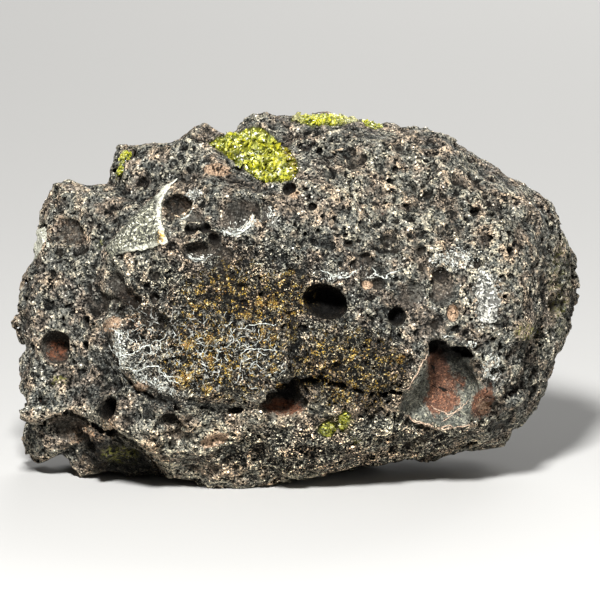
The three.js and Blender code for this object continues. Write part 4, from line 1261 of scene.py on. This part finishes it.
# ---------------------------------------------------------------- chips: grains, grit and flakes


def angular_chip(corners, random):
    """An angular convex shape of about unit radius, as points and triangles."""
    hull = bmesh.new()
    for _ in range(corners):
        way = random.normal(size=3)
        hull.verts.new(way / np.linalg.norm(way) * random.uniform(*CORNER_REACH))
    made = bmesh.ops.convex_hull(hull, input=hull.verts)
    inner = [e for e in made["geom_interior"] if isinstance(e, bmesh.types.BMVert)]
    bmesh.ops.delete(hull, geom=inner, context="VERTS")
    bmesh.ops.recalc_face_normals(hull, faces=hull.faces)
    hull.verts.index_update()
    points = np.array([vert.co[:] for vert in hull.verts])
    faces = np.array([[vert.index for vert in face.verts] for face in hull.faces])
    hull.free()
    return points, faces


def scatter_chips(name, places, radii, form, random):
    """One mesh of many chips, each turned and stretched its own way, with its tint painted on it."""
    corners, stretch = CHIP_FORMS[form]
    shapes = [angular_chip(corners, random) for _ in range(CHIP_SHAPES)]
    turns = random_turns(len(places), random)
    scales = radii[:, None] * random.uniform(*stretch, (len(places), 3))
    picks = random.integers(0, len(shapes), len(places))
    tints = random.random(len(places))
    points, faces, shades, made = [], [], [], 0
    for number, (shape, chip_faces) in enumerate(shapes):
        chosen = np.flatnonzero(picks == number)
        sized = shape[None] * scales[chosen, None, :]
        turned = np.einsum("nij,nkj->nki", turns[chosen], sized) + places[chosen, None, :]
        points.append(turned.reshape(-1, 3))
        starts = made + len(shape) * np.arange(len(chosen))
        faces.append((chip_faces[None] + starts[:, None, None]).reshape(-1, 3))
        shades.append(np.repeat(tints[chosen], len(shape)))
        made += len(shape) * len(chosen)
    piece = mesh_object(name, np.concatenate(points), np.concatenate(faces))
    paint(piece, "tint", np.concatenate(shades))
    return piece


def chip_radii(form, count, random):
    """Random radii, with few large ones."""
    least, more, steepness = CHIP_RADII[form]
    return least + more * random.random(count) ** steepness


def spaced(points, least, random):
    """Some of the points, in random order, none nearer to another than this."""
    kept, taken = [], {}
    for point in points[random.permutation(len(points))]:
        cell = tuple(np.floor(point / least).astype(int))
        near = (
            other
            for step in np.ndindex(3, 3, 3)
            for other in taken.get(tuple(c + s - 1 for c, s in zip(cell, step)), ())
        )
        if all(np.linalg.norm(point - other) >= least for other in near):
            kept.append(point)
            taken.setdefault(cell, []).append(point)
    return np.array(kept).reshape(-1, 3)


def build_peridot(field, node, shapes, depth, size, random, material):
    """Angular olivine grains that fill a pocket of the rock: large ones, smaller ones on top, and crumbs."""
    places, radii = [], []
    for seen_from, outline in shapes:
        across, up, out = seen_axes(field.axes, seen_from)
        column = outline_distance(across, up, outline)
        for low, high, share, spacing in GRAIN_LAYERS:
            radius = share * size
            layer = (field.block > low * depth) & (field.block < high * depth)
            layer &= (column < -GRAIN_INSET * radius) & (out > 0)
            chosen = spaced(field.places(layer), spacing * radius, random)
            chosen = chosen + random.normal(0, GRAIN_STRAY * radius, chosen.shape)
            places.append(chosen)
            radii.append(radius * random.uniform(*GRAIN_SIZES, len(chosen)))
    places, radii = np.concatenate(places), np.concatenate(radii)
    piece = scatter_chips(node + "_grains", places, radii, "grain", random)
    u, v, _ = vertex_points(piece).T
    browned = smoothstep(u + BROWN_SLANT * v, *CLUSTER_BROWN)
    paint(piece, "brown", browned * (node == "peridot_cluster"))
    bleached = np.maximum(smoothstep(-u, *RIDGE_PALE_WEST), smoothstep(u, *RIDGE_PALE_EAST))
    paint(piece, "pale", bleached * (node == "peridot_ridge_crust"))
    dress(piece, material, node)


def around(places):
    """The range that a crust's grid covers, from the places of its outline."""
    return places.min() - CRUST_MARGIN, places.max() + CRUST_MARGIN


def build_crust(node, seen_from, outline, proud):
    """A crust of pale mineral that lies on the rock, with crumbly edges."""
    if seen_from == "front":
        u, v = np.array(outline, float).T
        ranges = [around(u), around(v), GRID[2]]
    else:
        w, v = np.array(outline, float).T
        ranges = [LEFT_END, around(v), around(w)]
    crust = Field(ranges, CRUST_VOXEL)
    near = np.abs(crust.block) < SKIN
    places = crust.places(near)
    rough, crumble = np.zeros_like(crust.block), np.zeros_like(crust.block)
    rough[near] = surface_noise(places)
    crumble[near] = sum(height * noise_at(places, apart, seed) for apart, height, seed in CRUMBLE)
    across, up, out = seen_axes(crust.axes, seen_from)
    column = outline_distance(across, up, outline) + SIDE_CRUMBLE * crumble
    top = crust.block - rough - proud + TOP_CRUMBLE * crumble
    body = rounded_max(rounded_max(column, top, CRUST_EDGE), -(crust.block + CRUST_DEPTH), CRUST_FOOT)
    body = np.maximum(body, -out)
    points, quads = largest_piece(*surface_net(body, crust.low, crust.step))
    return mesh_object(node + "_crust", points, quads, smooth=True)


def build_crusts():
    pale, white = pale_material(), white_material()
    for node, seen_from, outline, proud in CRUSTS:
        piece = build_crust(node, seen_from, outline, proud)
        u, v, _ = vertex_points(piece).T
        if node == "pale_nodule":
            paint(piece, "ellipse_paint", ellipse_paint(vertex_points(piece), PALE_STAIN))
            inner = outline_distance(u, v, PALE_NODULE)
            right_or_low = np.maximum(smoothstep(u, *RIM_RIGHT), smoothstep(RIM_SLANT * u - v, *RIM_LOW))
            paint(piece, "rim", smoothstep(inner, *RIM_FADE) * right_or_low)
        elif node == "pale_edge_nodule":
            # painted light on the edge nodule, which faces away from the lamps
            paint(piece, "rim", np.full(len(u), EDGE_NODULE_LIGHT))
        else:
            paint(piece, "solid", np.maximum(smoothstep(-v, *SOLID_BELOW), smoothstep(v, *SOLID_ABOVE)))
        if node == "white_mineral_patch":
            dress(piece, white, node)
        else:
            dress(piece, pale, node)


def build_white_crystals(field, random, material):
    """Blocky crystals on the white patch, the largest at its foot."""
    u, v = np.array(WHITE_PATCH).T
    places = random.uniform((u.min(), v.min()), (u.max(), v.max()), (WHITE_CRYSTALS, 2))
    places = places[outline_distance(places[:, 0], places[:, 1], WHITE_PATCH) < -WHITE_INSET]
    places = places[np.abs(places[:, 1] - WHITE_GAP_V) > random.uniform(0, WHITE_GAP, len(places))]
    foot = smoothstep(-places[:, 1], *WHITE_FOOT)
    radii = random.uniform(*WHITE_RADII, len(places)) + FOOT_GROWTH * foot * random.random(len(places))
    places = field.fronts(places, field.values)
    dress(scatter_chips("white_crystals", places, radii, "crystal", random), material)


def crooked(line, random, stray=0.25):
    """A line broken into short stretches that stray to either side."""
    while np.linalg.norm(line[1] - line[0]) > 2 * VEIN_STEP:
        middles = (line[:-1] + line[1:]) / 2
        lengths = np.linalg.norm(line[1:] - line[:-1], axis=1)
        middles += random.normal(0, 1, middles.shape) * (stray * lengths / 2)[:, None]
        finer = np.empty((len(line) + len(middles), 2))
        finer[::2], finer[1::2] = line, middles
        line = finer
    return line


def vein(field, line, radius, random):
    """A thin crooked tube that follows the rock's surface along a line on the front: points and triangles."""
    line = np.array(line, float)
    parts = [crooked(np.array(part), random)[:-1] for part in zip(line[:-1], line[1:])]
    path = field.fronts(np.concatenate(parts + [line[-1:]]), field.values)
    along = np.gradient(path, axis=0)
    side = np.cross(along, [0, 0, 1])
    side /= np.maximum(np.linalg.norm(side, axis=1, keepdims=True), 1e-6)
    ends = np.minimum(np.arange(len(path)), np.arange(len(path))[::-1])
    thin = np.clip((ends + VEIN_TIP) / VEIN_TAPER, 0, 1)
    thick = radius * thin * random.uniform(*VEIN_WIDTHS, len(path))
    turns = np.radians([45, 135, 225, 315])
    ring = np.cos(turns)[:, None] * side[:, None] + np.sin(turns)[:, None] * np.array([0, 0, 1.0])
    points = (path[:, None] + thick[:, None, None] * ring).reshape(-1, 3)
    faces = [[(0, 3, 2), (0, 2, 1)]]
    for near in range(0, 4 * (len(path) - 1), 4):
        for a, b in ((0, 1), (1, 2), (2, 3), (3, 0)):
            faces.append([(near + a, near + b, near + b + 4), (near + a, near + b + 4, near + a + 4)])
    last = len(points) - 4
    faces.append([(last, last + 1, last + 2), (last, last + 2, last + 3)])
    return points, np.concatenate(faces)


def build_threads(field, name, groups, material, random):
    """One mesh of the veins along groups of lines, by their radius."""
    points, faces, made = [], [], 0
    for radius, group in groups.items():
        for line in group:
            tube, tube_faces = vein(field, line, radius, random)
            points.append(tube)
            faces.append(tube_faces + made)
            made += len(tube)
    dress(mesh_object(name, np.concatenate(points), np.concatenate(faces)), material)


def web_threads(random):
    """Lines of short fine threads spread over the web, by their radius."""
    lines = []
    for _ in range(WEB_THREADS):
        at_u, at_v, half_u, half_v, *_ = STAINS_LIGHT_AND_SHADE["web"][random.integers(len(STAINS_LIGHT_AND_SHADE["web"]))]
        u, v = random.normal((at_u, at_v), (half_u / WEB_SPREAD, half_v / WEB_SPREAD))
        turn, length = random.uniform(0, math.pi), random.uniform(*WEB_THREAD_LENGTHS)
        reach = (math.cos(turn) * length / 2, math.sin(turn) * length / 2)
        lines.append([(u - reach[0], v - reach[1]), (u + reach[0], v + reach[1])])
    return {WEB_THREAD_RADIUS: lines}


def surface_samples(piece, count, random, share):
    """Points spread over a mesh by area, times a share that depends on the place, and their normals."""
    points = vertex_points(piece)
    mesh = piece.data
    mesh.calc_loop_triangles()
    corners = np.empty(3 * len(mesh.loop_triangles), int)
    mesh.loop_triangles.foreach_get("vertices", corners)
    a, b, c = (points[corners.reshape(-1, 3)[:, i]] for i in range(3))
    cross = np.cross(b - a, c - a)
    area = np.linalg.norm(cross, axis=1)
    weight = area * share((a + b + c) / 3)
    chosen = random.choice(len(area), count, p=weight / weight.sum())
    s, t = random.random((2, count, 1))
    over = s + t > 1
    s, t = np.where(over, 1 - s, s), np.where(over, 1 - t, t)
    places = a[chosen] + s * (b - a)[chosen] + t * (c - a)[chosen]
    return places, cross[chosen] / np.maximum(area[chosen, None], 1e-9)


def build_grit(field, rock, white):
    """Small mineral grains that stud the broken surface."""
    random = np.random.default_rng(11)
    grit, bronze = grit_material(), bronze_material()

    def outer(points):
        bare = field.sample(points, field.block) > BARE
        return bare * (above_base(points[:, 1], points[:, 2]) > GRIT_ABOVE)

    for name, count, side in GRIT:
        places, normals = surface_samples(
            rock, int(count * CHIPS_MADE), random, lambda at: outer(at) * (side * (at[:, 2] - GRIT_SPLIT) > 0)
        )
        radii = chip_radii("grit", len(places), random)
        places = places - GRIT_SUNK * radii[:, None] * normals
        dress(scatter_chips("basalt_grit_" + name, places, radii, "grit", random), grit)

    def golden(at):
        spread, clumped = ellipse_paint(at, STAINS_LIGHT_AND_SHADE["bronze"]), ellipse_paint(at, STAINS_LIGHT_AND_SHADE["gold"])
        return outer(at) * (spread**2 + GOLD_CLUMPING * clumped)

    def whitened(at):
        return outer(at) * ellipse_paint(at, STAINS_LIGHT_AND_SHADE["white"]) ** 2

    for name, count, share, material, slot in (
        ("bronze_flakes", BRONZE_FLAKES, golden, bronze, "basalt"),
        ("white_crumbs", WHITE_CRUMBS, whitened, white, "white_mineral"),
    ):
        places, _ = surface_samples(rock, int(count * CHIPS_MADE), random, share)
        radii = chip_radii("flake", len(places), random)
        dress(scatter_chips(name, places, radii, "flake", random), material)


# ---------------------------------------------------------------- stage, in metres

FLOOR_SIZE = 6
FLOOR_COLOUR = (0.48, 0.475, 0.46, 1)
FLOOR_ROUGHNESS = 0.9
LIGHTS = [  # place, size and power in watts
    ("key", (-0.08, -0.76, 0.72), 0.15, 25),
    ("fill", (0.9, -0.9, 0.2), 0.9, 1.8),
    ("back", (0.35, 1.1, 0.6), 0.9, 11),
]
WORLD_COLOUR = (1, 0.98, 0.94, 1)
WORLD_STRENGTH = 0.095
HALF_VIEW = 0.075  # half the width that the camera sees at the object's middle
LENS = 800
SENSOR = 36


def build_stage():
    bpy.ops.mesh.primitive_plane_add(size=FLOOR_SIZE)
    floor = bpy.context.object
    floor.name = "floor"
    material = bpy.data.materials.new("floor")
    material.use_nodes = True
    shader = material.node_tree.nodes["Principled BSDF"]
    shader.inputs["Base Color"].default_value = FLOOR_COLOUR
    shader.inputs["Roughness"].default_value = FLOOR_ROUGHNESS
    floor.data.materials.append(material)

    middle = Vector((FACE_ORIGIN_X, FACE_ORIGIN_Y, BASE_DROP)) / 1000
    for name, place, size, power in LIGHTS:
        lamp = bpy.data.lights.new(name, "AREA")
        lamp.size = size
        lamp.energy = power
        light = bpy.data.objects.new(name, lamp)
        light.location = place
        light.rotation_euler = (middle - Vector(place)).to_track_quat("-Z", "Y").to_euler()
        bpy.context.scene.collection.objects.link(light)
    world = bpy.data.worlds.new("studio")
    world.use_nodes = True
    background = world.node_tree.nodes["Background"]
    background.inputs["Color"].default_value = WORLD_COLOUR
    background.inputs["Strength"].default_value = WORLD_STRENGTH
    bpy.context.scene.world = world
    bpy.context.scene.view_settings.view_transform = "Standard"

    lens = bpy.data.cameras.new("camera")
    lens.lens = LENS
    lens.sensor_width = SENSOR
    distance = HALF_VIEW * LENS / (SENSOR / 2)
    camera = bpy.data.objects.new("camera", lens)
    camera.location = middle + distance * Vector((0, -math.cos(FACE_LEAN), math.sin(FACE_LEAN)))
    camera.rotation_euler = (math.pi / 2 - FACE_LEAN, 0, 0)
    bpy.context.scene.collection.objects.link(camera)
    bpy.context.scene.camera = camera


field, rock = build_rock()
random = np.random.default_rng(3)
peridot = peridot_material()
for spec in PERIDOTS:
    build_peridot(field, *spec, random, peridot)
build_crusts()
random = np.random.default_rng(17)
white = thread_material("white_vein", (0.30, 0.31, 0.27), (0.70, 0.73, 0.68))
crystal = thread_material("white_crystal", (0.24, 0.24, 0.21), (0.66, 0.67, 0.63))
cream = thread_material("cream_rims_and_highlight", (0.24, 0.16, 0.11), (0.60, 0.46, 0.34))
# black tubes, painted shade in the bowl's cracks
black = thread_material("crack_shade", (0.004, 0.004, 0.003), (0.012, 0.010, 0.008))
build_white_crystals(field, random, crystal)
build_threads(field, "white_veins", VEINS, white, random)
build_threads(field, "white_vein_crumbs", web_threads(random), white, random)
build_threads(field, "bowl_rims", BOWL_RIMS, cream, random)
build_threads(field, "bowl_cracks", BOWL_CRACKS, black, random)
build_grit(field, rock, white)
build_stage()
